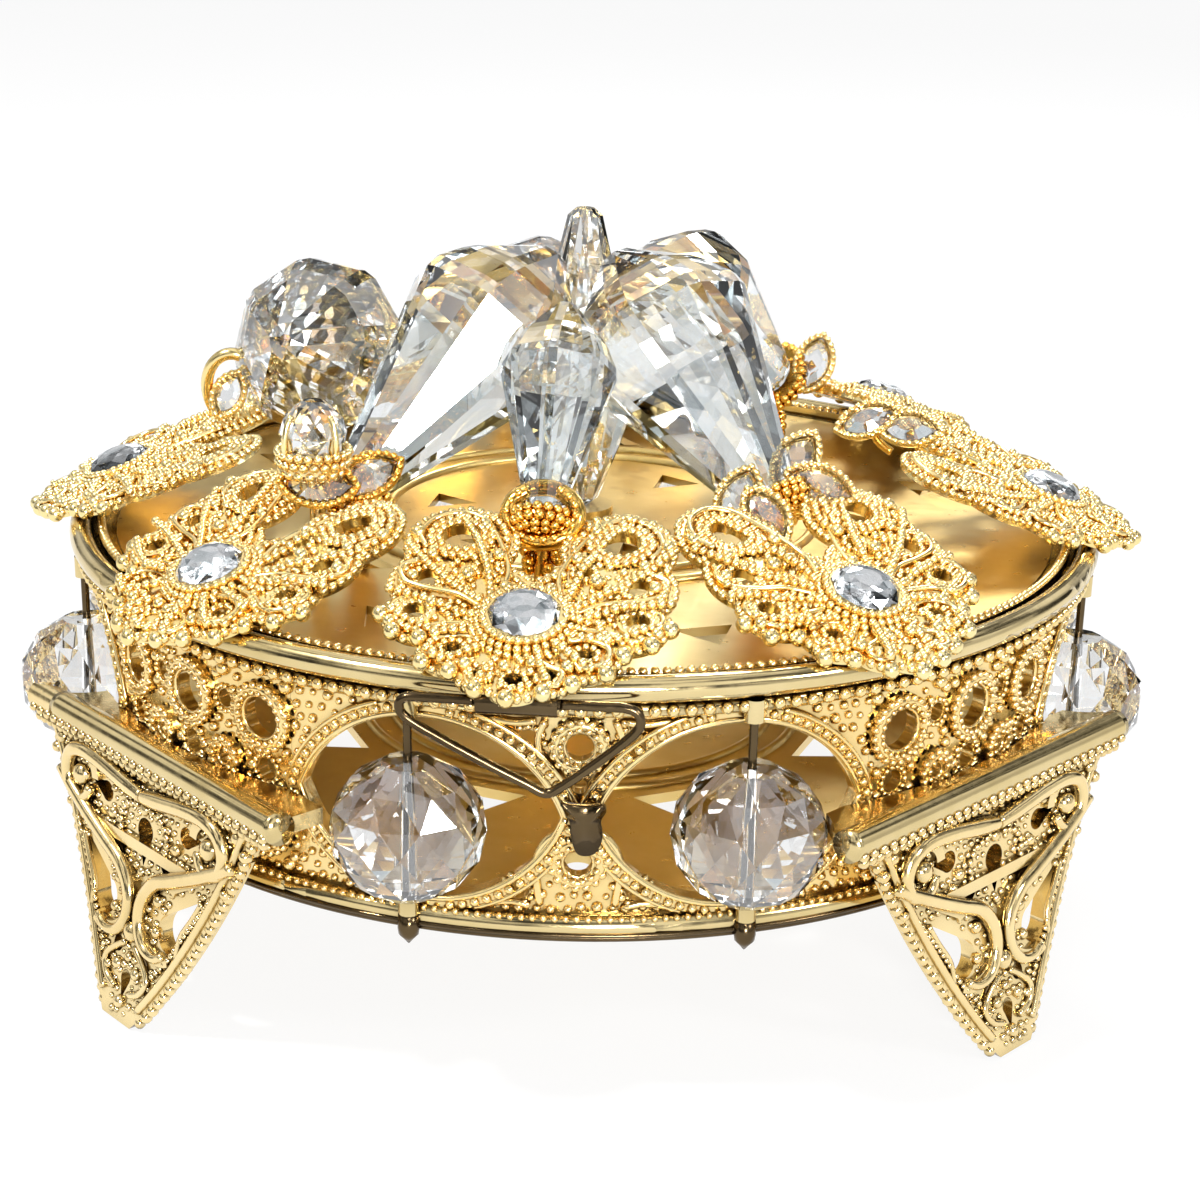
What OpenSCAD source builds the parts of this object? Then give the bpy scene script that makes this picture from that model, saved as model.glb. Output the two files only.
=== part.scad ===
// Round glass casket box: a pierced gilt-brass band on four leaf feet, eight
// faceted crystal beads on wire pins, and a hinged lid dressed with eight
// filigree bows and a dome of long crystal drops. Millimetres, +Z up, origin
// at the bottom centre, front of the box towards -Y.

/* [Casket body] */
// Outer radius of the pierced wall band
wall_r = 58.5; // [54:0.5:64]
// Thickness of the pierced wall band
wall_t = 1.4; // [1:0.1:2.4]
// Height of the wall band between the two rims
wall_h = 21.8; // [20.4:0.2:26]
// Height of the base rim's underside above the table
base_z = 18.2; // [15:0.2:24]
// Height of the base rim
base_rim_h = 2.4; // [1.8:0.1:4]
// How far both rims stand out from the wall band
rim_out = 1.6; // [1:0.1:2.4]
// Radial width of both rims
rim_w = 4.4; // [3.6:0.1:6]
// Height of the top rim
top_rim_h = 1.8; // [1.2:0.1:3]
// Thickness of the floor plate
plate_t = 1.2; // [0.8:0.1:2]

/* [Pierced wall] */
// Half angle covered by one window panel
panel_half = 30.5; // [30:0.1:32]
// Angle from a panel's middle to each pointed window
win_ang = 15.2; // [14.8:0.1:15.6]
// Length of a pointed window along the wall
win_w = 27.6; // [24:0.2:28]
// Metal left above and below a window
win_margin = 1.1; // [0.8:0.1:2]
// Width of the raised band round a window
band_w = 1.5; // [1:0.1:2]
// Height of raised bands and rings over the wall
relief = 0.7; // [0.4:0.1:1]
// Outer radius of the rings in the corner filigree
ring_r = 3.7; // [3:0.1:4.2]
// Width of metal in every small ring
ring_w = 1.2; // [0.8:0.1:1.6]

/* [Crystal beads] */
// Bead diameter
bead_d = 16; // [14:0.2:17]
// Bead height
bead_h = 14.5; // [12:0.1:15.4]
// Angle of a bead from the middle of its side
bead_ang = 16.6; // [16:0.1:17.2]
// How far a bead's axis stands outside the wall face
bead_out = 1.7; // [1:0.1:3]
// Radius of the wire pins
pin_r = 0.45; // [0.3:0.05:0.7]
// Radial running clearance of a bead on its pin
bead_fit = 0.06; // [0.03:0.01:0.1]
// Facets round a bead
bead_n = 12; // [8:1:16]

/* [Feet] */
// Half length of the lip on a foot
lip_half = 24; // [21:0.5:25]
// Height of the lip's top above the table, less the base height
lip_rise = 12.4; // [10:0.2:14]
// Radius of the half-round moulding on the lip
lip_roll = 1.7; // [1.4:0.1:2.2]
// Depth of the lip from its outer edge inwards
lip_depth = 6; // [5:0.2:8]
// Thickness of the lip and of the leaf
foot_t = 1.8; // [1.4:0.1:2.4]
// How far the lip's straight outer edge stands out from the wall
lip_out = 4.1; // [3.6:0.1:7]
// How far the foot's tip stands out beyond the lip
tip_out = 5.4; // [4.4:0.2:9]
// Half width of the blunt tip
tip_half = 2.8; // [2:0.1:4]
// Turn of the front left foot round the wall
foot_skew = -3; // [-3:0.5:0]

/* [Lid] */
// Gap between the lid and the top rim
seam = 0.15; // [0.1:0.05:0.3]
// Radius of the lid ring's rolled edge
roll_r = 1.4; // [1.1:0.1:2]
// Width of the lid ring's inner flange
flange_w = 4; // [3:0.2:6]
// Thickness of the lid ring's flange
flange_t = 1; // [0.8:0.1:1.6]
// Height of the beaded bank on the flange
bank_h = 1.3; // [0.8:0.1:1.6]
// Diameter of the hinge tube
hinge_d = 3.6; // [3:0.1:4.4]
// Radius of the hinge pin
hinge_pin_r = 0.9; // [0.6:0.05:1.1]
// Length of the whole hinge
hinge_len = 20; // [14:0.5:26]
// Running clearance in the hinge
hinge_fit = 0.06; // [0.03:0.01:0.1]

/* [Filigree bows] */
// Thickness of a bow
bow_t = 1; // [0.8:0.1:1.4]
// Slope of the bows, outer end down
bow_tilt = 20; // [14:1:24]
// How far a bow's stone sits inside the lid ring's centre line
bow_back = 6.1; // [5:0.1:7]
// Radius of a bow's wing lobe
wing_r = 5.8; // [5.4:0.1:6.1]
// Radius of a bow's fan
fan_r = 7.4; // [6.8:0.1:8]
// Diameter of the rhinestones
stone_d = 7; // [6:0.1:7.4]

/* [Crystal drops] */
// Length of a large drop's crown
crown_h = 7.5; // [6:0.1:9]
// Length of a large drop's shoulder
shoulder_h = 5; // [4:0.1:6]
// Whole length of a large drop at full size
drop_len = 38; // [34:0.5:40]
// Radius of a large drop at its crown ring
crown_r = 8.8; // [8:0.1:9.2]
// Radius of a large drop at its widest
drop_r = 11.4; // [10:0.1:11.6]
// Radius of a drop's blunt lower tip
drop_tip_r = 3.4; // [2.6:0.1:3.6]
// Radius of a drop's upper end
drop_top_r = 1.8; // [1.2:0.1:2]
// Length of the upright crystal in the middle
fin_len = 36; // [32:0.5:38]
// Length of the upright crystal's foot and of its shoulder
fin_foot = 8; // [6:0.5:9]
// Radius of the upright crystal at its widest
fin_r = 7.4; // [6.4:0.1:7.8]
// Radius of the stems under the drops
stem_r = 0.9; // [0.7:0.1:1.3]
// Wall of the gold collars round the drop tips
collar_t = 0.9; // [0.6:0.1:1.2]

/* [Latch] */
// Wire radius of the swinging bail
bail_r = 0.55; // [0.4:0.05:0.7]
// Half width of the bail at its pivot
bail_half = 11.3; // [9:0.1:12]
// Drop from the pivot to the bail's point
bail_drop = 9.4; // [8:0.1:10]
// Radius of the bends in the bail
bail_bend = 1.6; // [1:0.1:2]
// Sideways shift of the bail's point
bail_shift = 3; // [0:0.1:4]
// Angle of the latch round the lid
latch_ang = -5.6; // [-8:0.1:0]
// Width of the catch strip
catch_w = 4.4; // [3.4:0.1:6]

/* [Hidden] */
$fn = 64;
eps = 0.02;
wall_z = base_z + base_rim_h;
wall_top = wall_z + wall_h;
rim_top = wall_top + top_rim_h;
rim_or = wall_r + rim_out;
rim_ir = rim_or - rim_w;
wall_mid = wall_z + wall_h / 2;
win_h = wall_h - 2 * win_margin;
bead_cr = wall_r + bead_out;
bead_cz = wall_z + 1.6 + bead_h / 2;
lug_r = pin_r + 0.6;
lip_z = base_z + lip_rise;
lip_r = wall_r + lip_out;
tip_r = lip_r + tip_out;
lid_z = rim_top + seam;
ring_R = rim_or;
ring_z = lid_z + roll_r;
plate_r = ring_R - flange_w - 0.02;
lid_plate_top = lid_z + flange_t + 0.2;
hinge_y = ring_R + roll_r + hinge_d / 2 + 0.9;
hinge_z = lid_z + 0.2;
hinge_x = -hinge_len / 2;
knuckle = hinge_len / 3;
stand = roll_r + 0.06 + bow_t / 2;
bow_r = ring_R - bow_back;
bow_z = ring_z + stand / cos(bow_tilt) + (ring_R - bow_r) * tan(bow_tilt);
bow_angs = [-6, -44, 32, 83.5, -88.5, 133, -143, 178.5];
bow_in = [-0.6, -1.8, 0.2, -1, -1.7, -0.4, -2.4, 2.6];
latch_y = ring_R + roll_r + 1.5;
latch_z = ring_z - 0.5;
gold = "goldenrod";
pale_gold = "gold";
clear = "lightcyan";
dark = "dimgray";

// ---- small helpers -------------------------------------------------------

// Puts children on the wall: a = angle from the front, r = radius, z = height;
// their own +Z then points outwards along the radius, their +Y points up.
module on_wall(a, r, z) {
    rotate([0, 0, a]) translate([0, -r, z]) rotate([90, 0, 0]) children();
}

// Ring sector of radial section r1..r2, z1..z2 that covers a1..a2 degrees.
module sector(r1, r2, z1, z2, a1, a2) {
    rotate([0, 0, a1 - 90])
        translate([0, 0, z1])
            rotate_extrude(angle = a2 - a1)
                translate([r1, 0]) square([r2 - r1, z2 - z1]);
}

// Pointed oval of length w and height h.
module vesica(w, h) {
    rr = (w * w + h * h) / (4 * h);
    intersection() {
        translate([0, rr - h / 2]) circle(r = rr);
        translate([0, h / 2 - rr]) circle(r = rr);
    }
}

// Teardrop: round end of radius r at the origin, point at distance l.
module teardrop(r, l) {
    a = acos(r / l);
    k = 0.97 * r;
    circle(r = r, $fn = 32);
    polygon([[k * cos(a), k * sin(a)], [0, 0], [k * cos(a), -k * sin(a)], [l, 0]]);
}

function unit(v) = v / norm(v);
function polar(p) = [p[0] * sin(p[1]), -p[0] * cos(p[1]), p[2]];

// Solid lofted through n-sided rings; prof holds [distance, radius] rows from
// the start s towards the end e, turned by roll of one side.
module faceted(s, e, prof, n, roll) {
    a = unit(e - s);
    u = abs(a[2]) > 0.995 ? [1, 0, 0] : unit(cross([0, 0, 1], a));
    v = cross(a, u);
    m = len(prof);
    pts = [for (i = [0 : m - 1]) for (k = [0 : n - 1])
        let (t = 360 * (k + roll + prof[i][2]) / n)
        s + a * prof[i][0] + prof[i][1] * (cos(t) * u + sin(t) * v)];
    sides = [for (i = [0 : m - 2]) for (k = [0 : n - 1])
        let (k2 = (k + 1) % n, p = i * n + k, q = i * n + k2,
            twist = prof[i + 1][2] > prof[i][2])
        each (twist
            ? [[p, p + n, q], [q, p + n, q + n]]
            : [[p, p + n, q + n], [p, q + n, q]])];
    polyhedron(points = pts, faces = concat([[for (k = [0 : n - 1]) k]],
        sides, [[for (k = [0 : n - 1]) m * n - 1 - k]]));
}

// ---- casket body ---------------------------------------------------------

// Floor: a plain disc with a raised double ring and eight pierced triangles.
module floor_pattern(r) {
    for (i = [0 : 7]) rotate([0, 0, 22.5 + 45 * i])
        polygon([[-5.6, -0.53 * r], [5.6, -0.53 * r], [0, -0.75 * r]]);
    for (i = [0 : 7]) rotate([0, 0, 45 * i])
        translate([0, -0.82 * r]) rotate(-90) teardrop(1.6, 5);
}

module base_plate() {
    color(pale_gold) {
        translate([0, 0, wall_z - plate_t]) linear_extrude(plate_t) difference() {
            circle(r = rim_ir - eps);
            floor_pattern(rim_ir);
        }
        for (r = [27, 23.6])
            translate([0, 0, wall_z - eps]) rotate_extrude()
                translate([r, 0]) circle(r = 0.6, $fn = 24);
    }
}

module lug(z, h) {
    for (s = [0 : 3]) for (d = [-1, 1])
        rotate([0, 0, 90 * s + d * bead_ang]) translate([0, -bead_cr, z])
            cylinder(r = lug_r, h = h, $fn = 32);
}

module pin_bores(z, h) {
    for (s = [0 : 3]) for (d = [-1, 1])
        rotate([0, 0, 90 * s + d * bead_ang]) translate([0, -bead_cr, z])
            cylinder(r = pin_r + eps, h = h, $fn = 24);
}

module bottom_rim() {
    color(gold) difference() {
        union() {
            rotate_extrude() translate([rim_ir, base_z]) square([rim_w - base_rim_h / 2, base_rim_h]);
            rotate_extrude() translate([rim_or - base_rim_h / 2, base_z + base_rim_h / 2])
                circle(r = base_rim_h / 2 - eps, $fn = 32);
            lug(base_z - 0.4, base_rim_h + 1.7);
        }
        pin_bores(base_z - 1, base_rim_h + 3);
    }
}

module top_rim() {
    color(gold) difference() {
        union() {
            rotate_extrude() translate([rim_ir, wall_top]) square([rim_w - top_rim_h / 2, top_rim_h]);
            rotate_extrude() translate([rim_or - top_rim_h / 2, wall_top + top_rim_h / 2])
                circle(r = top_rim_h / 2 - eps, $fn = 32);
            lug(wall_top - 0.6, top_rim_h + 0.6);
        }
        pin_bores(wall_top - 1, top_rim_h + 0.4);
    }
}

// Round ring standing on the wall band, with its own bore.
module wall_ring(a, z, ro, out) {
    on_wall(a, wall_r - wall_t / 2, z) difference() {
        cylinder(r = ro, h = wall_t / 2 + out, $fn = 40);
        translate([0, 0, -1]) cylinder(r = ro - ring_w, h = wall_t + out + 2, $fn = 40);
    }
}

module wall_hole(a, z, r) {
    on_wall(a, wall_r - wall_t - 1.5, z) cylinder(r = r, h = wall_t + 3, $fn = 32);
}

module window_panel(a) {
    ring_top = wall_top - 0.4 - ring_small;
    ring_low = wall_z + 3 + ring_small;
    color(gold) rotate([0, 0, a]) {
        difference() {
            union() {
                sector(wall_r - wall_t, wall_r, wall_z, wall_top, -panel_half, panel_half);
                for (d = [-1, 1]) intersection() {
                    sector(wall_r - 0.2, wall_r + relief, wall_z, wall_top,
                        -panel_half, panel_half);
                    on_wall(d * win_ang, wall_r - 3, wall_mid)
                        linear_extrude(8) vesica(win_w + 2.8 * band_w, win_h + 2 * band_w);
                }
                wall_ring(0, ring_top, ring_small, relief);
                wall_ring(0, ring_low, ring_small, relief);
            }
            for (d = [-1, 1]) {
                on_wall(d * win_ang, wall_r - 6, wall_mid) linear_extrude(12)
                    vesica(win_w, win_h);
                wall_hole(d * 5.1, ring_top + 0.2, 1.3);
                wall_hole(d * 5.9, wall_z + 2.6, 1.2);
            }
            for (d = [-1, 1]) rotate([0, 0, d * bead_ang]) translate([0, -bead_cr, wall_z - 1])
                cylinder(r = lug_r + eps, h = wall_h + 2, $fn = 32);
            wall_hole(0, ring_top, ring_small - ring_w);
            wall_hole(0, ring_low, ring_small - ring_w);
            wall_hole(0, wall_mid + 3.2, 0.8);
        }
    }
}
ring_small = 2.9;

module corner_filigree(a) {
    z1 = wall_z + 1.5 + ring_r;
    z2 = wall_top - 1.2 - ring_r;
    zm = (z1 + z2) / 2;
    half = 45 - panel_half - 0.03;
    pitch = half - 3.6;
    color(gold) rotate([0, 0, a]) difference() {
        union() {
            sector(wall_r - wall_t, wall_r, wall_z, wall_top, -half, half);
            for (i = [-1 : 1]) for (z = [z1, z2])
                wall_ring(i * pitch, z, ring_r, relief);
            for (i = [-1, 1]) wall_ring(i * pitch / 2, zm, 2.2, relief);
        }
        for (i = [-1 : 1]) for (z = [z1, z2])
            wall_hole(i * pitch, z, ring_r - ring_w);
        for (i = [-1, 1]) {
            wall_hole(i * pitch / 2, zm, 1.1);
            wall_hole(i * (pitch + 0.3), zm, 1.2);
            for (z = [z1 - 0.6, z2 + 0.6]) wall_hole(i * pitch / 2, z, 1.0);
        }
        wall_hole(0, zm, 1.3);
    }
}

// ---- feet ----------------------------------------------------------------

function leaf_half(z) = tip_half + (lip_half - 2.2 - tip_half) * pow(z / lip_z, 0.84);

module leaf_outline() {
    n = 12;
    polygon(concat(
        [for (i = [0 : n]) [leaf_half(lip_z * i / n), lip_z * i / n]],
        [for (i = [n : -1 : 0]) [-leaf_half(lip_z * i / n), lip_z * i / n]]));
}

// Direction t as seen on the right side (m = 1), or its reflection on the left.
function side_dir(m, t) = m > 0 ? t : 180 - t;

// Piercings of the leaf, in its own plane: x across, y up from the table.
module leaf_cuts() {
    for (m = [-1, 1]) {
        translate([6.4 * m, lip_z - 18.8]) rotate(side_dir(m, 48)) teardrop(2.1, 7);
        translate([8 * m, lip_z - 7.4]) rotate(side_dir(m, 10)) teardrop(1.2, 3.2);
        translate([4.3 * m, lip_z - 11.8]) circle(r = 1.0, $fn = 24);
        translate([17.6 * m, lip_z - 6.2]) circle(r = 0.9, $fn = 24);
        translate([2.6 * m, lip_z - 23]) circle(r = 0.9, $fn = 24);
    }
    translate([0, lip_z - 9.4]) rotate(-90) teardrop(1.5, 4);
    translate([0, lip_z - 16.1]) circle(r = 1.1, $fn = 24);
    translate([0, lip_z - 26]) rotate(-90) teardrop(0.9, 2.4);
}

// Flat band of width w between two points.
module band(p, q, w) {
    d = q - p;
    translate(p) rotate(atan2(d[1], d[0])) translate([0, -w / 2]) square([norm(d), w]);
}

// Flat ring band of width w, without the part inside the wedge from a1 to a2.
module hook(r, w, a1, a2) {
    difference() {
        circle(r = r + w / 2, $fn = 48);
        circle(r = r - w / 2, $fn = 48);
        polygon([[0, 0], 2 * r * [cos(a1), sin(a1)],
            3 * r * [cos((a1 + a2) / 2), sin((a1 + a2) / 2)], 2 * r * [cos(a2), sin(a2)]]);
    }
}

// Raised scrolls of the leaf: one hooks under the lip, one round the opening.
module leaf_scrolls() {
    for (m = [0, 1]) mirror([m, 0]) {
        translate([12.6, lip_z - 6.7]) hook(2.7, 1.3, 176, 262);
        band([-0.2, lip_z - 5.2], [12.4, lip_z - 4], 1.3);
        translate([5.3, lip_z - 17.5]) hook(4.3, 1.3, -62, 62);
        band([6.6, lip_z - 13.4], [16.6, lip_z - 8], 1.3);
    }
}

// Slice of a wide tube lying across the foot, from radius rho + g1 to rho + g2.
module leaf_shell(rho, g1, g2) {
    translate([0, -lip_r - rho, lip_z]) rotate([0, 90, 0]) difference() {
        cylinder(r = rho + g2, h = 2 * lip_half, center = true, $fn = 128);
        cylinder(r = rho + g1, h = 2 * lip_half + 2, center = true, $fn = 128);
    }
}

// Foot at angle a, turned from there by skew.
module foot(a, skew) {
    run = tip_r - lip_r;
    rho = (run * run + lip_z * lip_z) / (2 * run);
    inner = wall_r + relief + 0.25;
    color(gold) rotate([0, 0, a + skew]) {
        // curved leaf, cut to its outline and pierced
        intersection() {
            leaf_shell(rho, 0, foot_t);
            translate([0, -tip_r + 14, 0]) rotate([90, 0, 0]) linear_extrude(16) difference() {
                leaf_outline();
                leaf_cuts();
            }
        }
        // scrolls in relief on the leaf
        intersection() {
            leaf_shell(rho, -0.5, 0.4);
            translate([0, -tip_r + 14, 0]) rotate([90, 0, 0]) linear_extrude(17) leaf_scrolls();
        }
        // lip from the wall out to the leaf, with its half-round moulding
        difference() {
            union() {
                translate([-lip_half, -lip_r - 0.5, lip_z - foot_t]) cube([2 * lip_half, lip_depth + 0.5, foot_t]);
                translate([0, -lip_r + lip_roll - 0.9, lip_z - 1]) rotate([0, 90, 0])
                    cylinder(r = lip_roll, h = 2 * lip_half, center = true);
            }
            translate([0, 0, lip_z - 9]) cylinder(r = inner, h = 18, $fn = 128);
            for (m = [-1, 1]) rotate([0, 0, m * (45 - bead_ang) - skew]) translate([0, -bead_cr, lip_z - 9])
                cylinder(r = bead_d / 2 + 0.45, h = 18);
        }
        // shelf that joins the leaf to the base rim
        translate([0, 0, base_z + 0.5]) linear_extrude(base_rim_h - 1) difference() {
            translate([-9, -lip_r - 1.2]) square([18, 6]);
            circle(r = rim_or + eps, $fn = 128);
        }
    }
}

// ---- crystal beads and their pins ----------------------------------------

module bead_pins() {
    color(gold) for (s = [0 : 3]) for (d = [-1, 1])
        rotate([0, 0, 90 * s + d * bead_ang]) translate([0, -bead_cr, base_z - 1])
            cylinder(r = pin_r, h = wall_top - base_z + top_rim_h + 0.4, $fn = 24);
}

// Faceted rondelle: five rings of facets, each turned half a facet.
module crystal_bead(s, d) {
    r = bead_d / 2;
    h = bead_h;
    prof = [[0, 0.34 * r, 0], [0.13 * h, 0.72 * r, 0.5], [0.32 * h, 0.95 * r, 0],
        [0.5 * h, r, 0.5], [0.68 * h, 0.95 * r, 0], [0.87 * h, 0.72 * r, 0.5], [h, 0.34 * r, 0]];
    color(clear) rotate([0, 0, 90 * s + d * bead_ang]) translate([0, -bead_cr, bead_cz - h / 2])
        difference() {
            faceted([0, 0, 0], [0, 0, h], prof, bead_n, 0);
            translate([0, 0, -1]) cylinder(r = pin_r + bead_fit, h = h + 2, $fn = 24);
        }
}

// ---- hinge ---------------------------------------------------------------

module knuckle_tube(x, l) {
    translate([x, hinge_y, hinge_z]) rotate([0, 90, 0]) cylinder(r = hinge_d / 2, h = l, $fn = 40);
}

module hinge_bore(r) {
    translate([hinge_x - 1, hinge_y, hinge_z]) rotate([0, 90, 0])
        cylinder(r = r, h = hinge_len + 2, $fn = 32);
}

module hinge_leaf_body() {
    leaf_y = rim_or + 0.02;
    color(gold) difference() {
        for (x = [hinge_x, hinge_x + 2 * knuckle + 0.1]) {
            knuckle_tube(x, knuckle - 0.1);
            translate([x, leaf_y - 0.6, wall_top - 6]) cube([knuckle - 0.1, 1.6, hinge_z - wall_top + 4.6]);
            translate([x, leaf_y, hinge_z - hinge_d / 2]) cube([knuckle - 0.1, hinge_y - leaf_y, 1.4]);
        }
        hinge_bore(hinge_pin_r + eps);
        translate([0, 0, wall_top - 7]) cylinder(r = wall_r + relief + 0.02, h = 12, $fn = 128);
        translate([0, 0, wall_top]) cylinder(r = rim_or + 0.02, h = 9, $fn = 128);
        translate([0, 0, lid_z - 0.1]) cylinder(r = ring_R + roll_r + 0.3, h = 9, $fn = 128);
    }
}

module hinge_pin() {
    color(gold) translate([hinge_x - 0.6, hinge_y, hinge_z]) rotate([0, 90, 0])
        cylinder(r = hinge_pin_r, h = hinge_len + 1.2, $fn = 32);
}

module hinge_leaf_lid() {
    x = hinge_x + knuckle + 0.1;
    l = knuckle - 0.2;
    color(gold) difference() {
        union() {
            knuckle_tube(x, l);
            translate([x, ring_R + roll_r - 1.6, ring_z - 0.4])
                cube([l, hinge_y - ring_R - roll_r + 1.6, 2.0]);
        }
        hinge_bore(hinge_pin_r + hinge_fit);
        lid_ring_solid(eps);
    }
}

// ---- lid -----------------------------------------------------------------

module lid_ring_solid(g) {
    rotate_extrude() translate([ring_R, ring_z]) circle(r = roll_r + g, $fn = 40);
    rotate_extrude() translate([ring_R - flange_w, lid_z]) square([flange_w, flange_t]);
    rotate_extrude() translate([ring_R - roll_r - 1.5, lid_z]) square([1.1, flange_t + bank_h]);
}

module lid_ring() {
    color(pale_gold) lid_ring_solid(0);
}

module lid_plate() {
    color(pale_gold) {
        difference() {
            union() {
                translate([0, 0, lid_plate_top - flange_t]) cylinder(r = plate_r, h = flange_t, $fn = 128);
                for (r = [28, 24]) translate([0, 0, lid_plate_top - eps]) rotate_extrude()
                    translate([r, 0]) circle(r = 0.7, $fn = 24);
                translate([fin_x, 0, lid_plate_top - 0.3]) cylinder(r = 4, h = fin_lift + 0.25, $fn = 40);
            }
            translate([0, 0, lid_z - 2]) linear_extrude(6) {
                for (i = [0 : 7]) rotate([0, 0, 45 * i + 17])
                    polygon([[-3.4, -43], [3.4, -43], [0, -48.6]]);
                for (i = [0 : 7]) rotate([0, 0, 45 * i - 5])
                    polygon([[-4.6, -31], [4.6, -31], [0, -38]]);
                for (i = [0 : 5]) rotate([0, 0, 60 * i + 20])
                    polygon([[-3, -19], [3, -19], [0, -13.4]]);
            }
        }
    }
}

// Bow outline: two tall wings towards the middle, a fan that narrows at the rim.
bow_low = 8;
module bow_outline() {
    for (m = [0, 1]) mirror([m, 0]) {
        translate([8.2, 12.6]) circle(r = wing_r);
        translate([9.6, 6.2]) circle(r = 0.86 * wing_r);
        translate([10.2, 0.8]) circle(r = 4.1);
        translate([4.6, 4]) circle(r = 5.2);
        translate([6.4, -4.2]) circle(r = 3.6);
        translate([3.2, -7.4]) circle(r = 2.7);
    }
    translate([0, -2.4]) circle(r = fan_r);
    translate([0, -bow_low]) circle(r = 3.2);
}

module bow_cuts() {
    for (m = [0, 1]) mirror([m, 0]) {
        translate([8.3, 13.2]) circle(r = 2.1, $fn = 32);
        translate([12.3, 9.6]) circle(r = 0.8, $fn = 24);
        translate([5, 8.4]) circle(r = 0.9, $fn = 24);
        translate([10.6, 6.4]) rotate(205) teardrop(1.4, 3.8);
        translate([11.2, 0.9]) circle(r = 1.2, $fn = 24);
        translate([7.4, 1.6]) circle(r = 0.8, $fn = 24);
        translate([6.6, -4.4]) circle(r = 0.9, $fn = 24);
        translate([3.3, -7.8]) circle(r = 0.8, $fn = 24);
    }
    translate([0, -8.6]) circle(r = 0.9, $fn = 24);
}

module on_bow(i) {
    rotate([0, 0, bow_angs[i]])
        translate([0, -bow_r + bow_in[i], bow_z + bow_in[i] * tan(bow_tilt)])
            rotate([bow_tilt, 0, 0]) children();
}

module filigree_bow(i) {
    color(gold) difference() {
        on_bow(i) difference() {
            translate([0, 0, -bow_t / 2]) linear_extrude(bow_t) difference() {
                bow_outline();
                bow_cuts();
            }
            translate([0, 0, -2]) cylinder(r = stone_d / 2 - 0.9, h = 4, $fn = 40);
        }
        if (i == 0) latch_frame() rotate([0, 90, 0])
            cylinder(r = bail_r + 0.85, h = 8.4, center = true, $fn = 32);
        if (i == 7) translate([hinge_x + knuckle - 0.2, ring_R + roll_r - 1.9, ring_z - 2])
            cube([knuckle + 0.4, 9, 4]);
    }
    color(gold) on_bow(i) {
        for (m = [-1, 1]) {
            translate([m * 8.3, 13.2, bow_t / 2 - eps]) difference() {
                cylinder(r = 3.2, h = 0.5, $fn = 40);
                translate([0, 0, -1]) cylinder(r = 2.1, h = 3, $fn = 40);
            }
            translate([m * 11.2, 0.9, bow_t / 2 - eps]) difference() {
                cylinder(r = 2.1, h = 0.4, $fn = 40);
                translate([0, 0, -1]) cylinder(r = 1.2, h = 3, $fn = 40);
            }
        }
    }
}

module stone_bezels() {
    color(gold) for (i = [0 : 7]) on_bow(i) translate([0, 0, bow_t / 2 + eps]) difference() {
        cylinder(r = stone_d / 2 + 0.9, h = 1.5, $fn = 40);
        translate([0, 0, 0.5]) cylinder(r = stone_d / 2 + 0.05, h = 3, $fn = 40);
        translate([0, 0, -1]) cylinder(r = stone_d / 2 - 0.9, h = 3, $fn = 40);
    }
}

module rhinestones() {
    r = stone_d / 2;
    color(clear) for (i = [0 : 7]) on_bow(i)
        faceted([0, 0, bow_t / 2 + 0.54], [0, 0, 9],
            [[0, 0.7 * r, 0], [0.9, r, 0.5], [1.2, r, 0.5], [2.2, 0.55 * r, 0]], 8, 0);
}

// ---- crystal drops -------------------------------------------------------

// Drop rows: tip and top as [radius, angle, height over the lid plate],
// size factor and roll in sides. What stands by the rim follows the lid ring,
// and what leans on the finial follows the finial.
fin_x = -0.6;
fin_lift = 1;
drops = [
    [[ring_R - 26.3, -47.6, 10], [fin_r - 0.5, -33.7, fin_len - 3.5], 1, 0.2],
    [[ring_R - 26.1, 37.3, 9.5], [fin_r - 0.5, 22.7, fin_len - 3.5], 1, 0.3],
    [[ring_R - 21.5, -6.5, 11], [fin_r + 13.8, -6.6, 30], 0.58, 0],
    [[ring_R - 27.2, 133.2, 12], [fin_r - 0.2, 137.4, fin_len - 7], 0.94, 0],
    [[ring_R - 23.8, -131.2, 13.1], [ring_R - 24.3, -80.5, 21.8], 1, -0.3],
    [[ring_R - 27.9, -165, 11.6], [fin_r + 2, -150, fin_len - 7.5], 0.78, 0.1]];

function drop_tip(i) = polar([drops[i][0][0], drops[i][0][1], drops[i][0][2] + lid_plate_top]);
function drop_top(i) = polar([drops[i][1][0], drops[i][1][1], drops[i][1][2] + lid_plate_top]);

module crystal_drop(i) {
    s = drop_top(i);
    e = drop_tip(i);
    k = norm(e - s) / drop_len;
    f = drops[i][2];
    color(clear) faceted(s, e, [[0, drop_top_r * f, 0], [crown_h * k, crown_r * f, 0],
        [(crown_h + shoulder_h) * k, drop_r * f, 0], [drop_len * k, drop_tip_r * f, 0]],
        8, drops[i][3]);
}

module crystal_finial() {
    z = lid_plate_top + fin_lift;
    color(clear) faceted([fin_x, 0, z], [fin_x, 0, z + fin_len],
        [[0, 2, 0], [fin_foot, 0.7 * fin_r, 0], [2 * fin_foot - 1, fin_r, 0], [fin_len, 2, 0]],
        8, 0.5);
}

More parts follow.
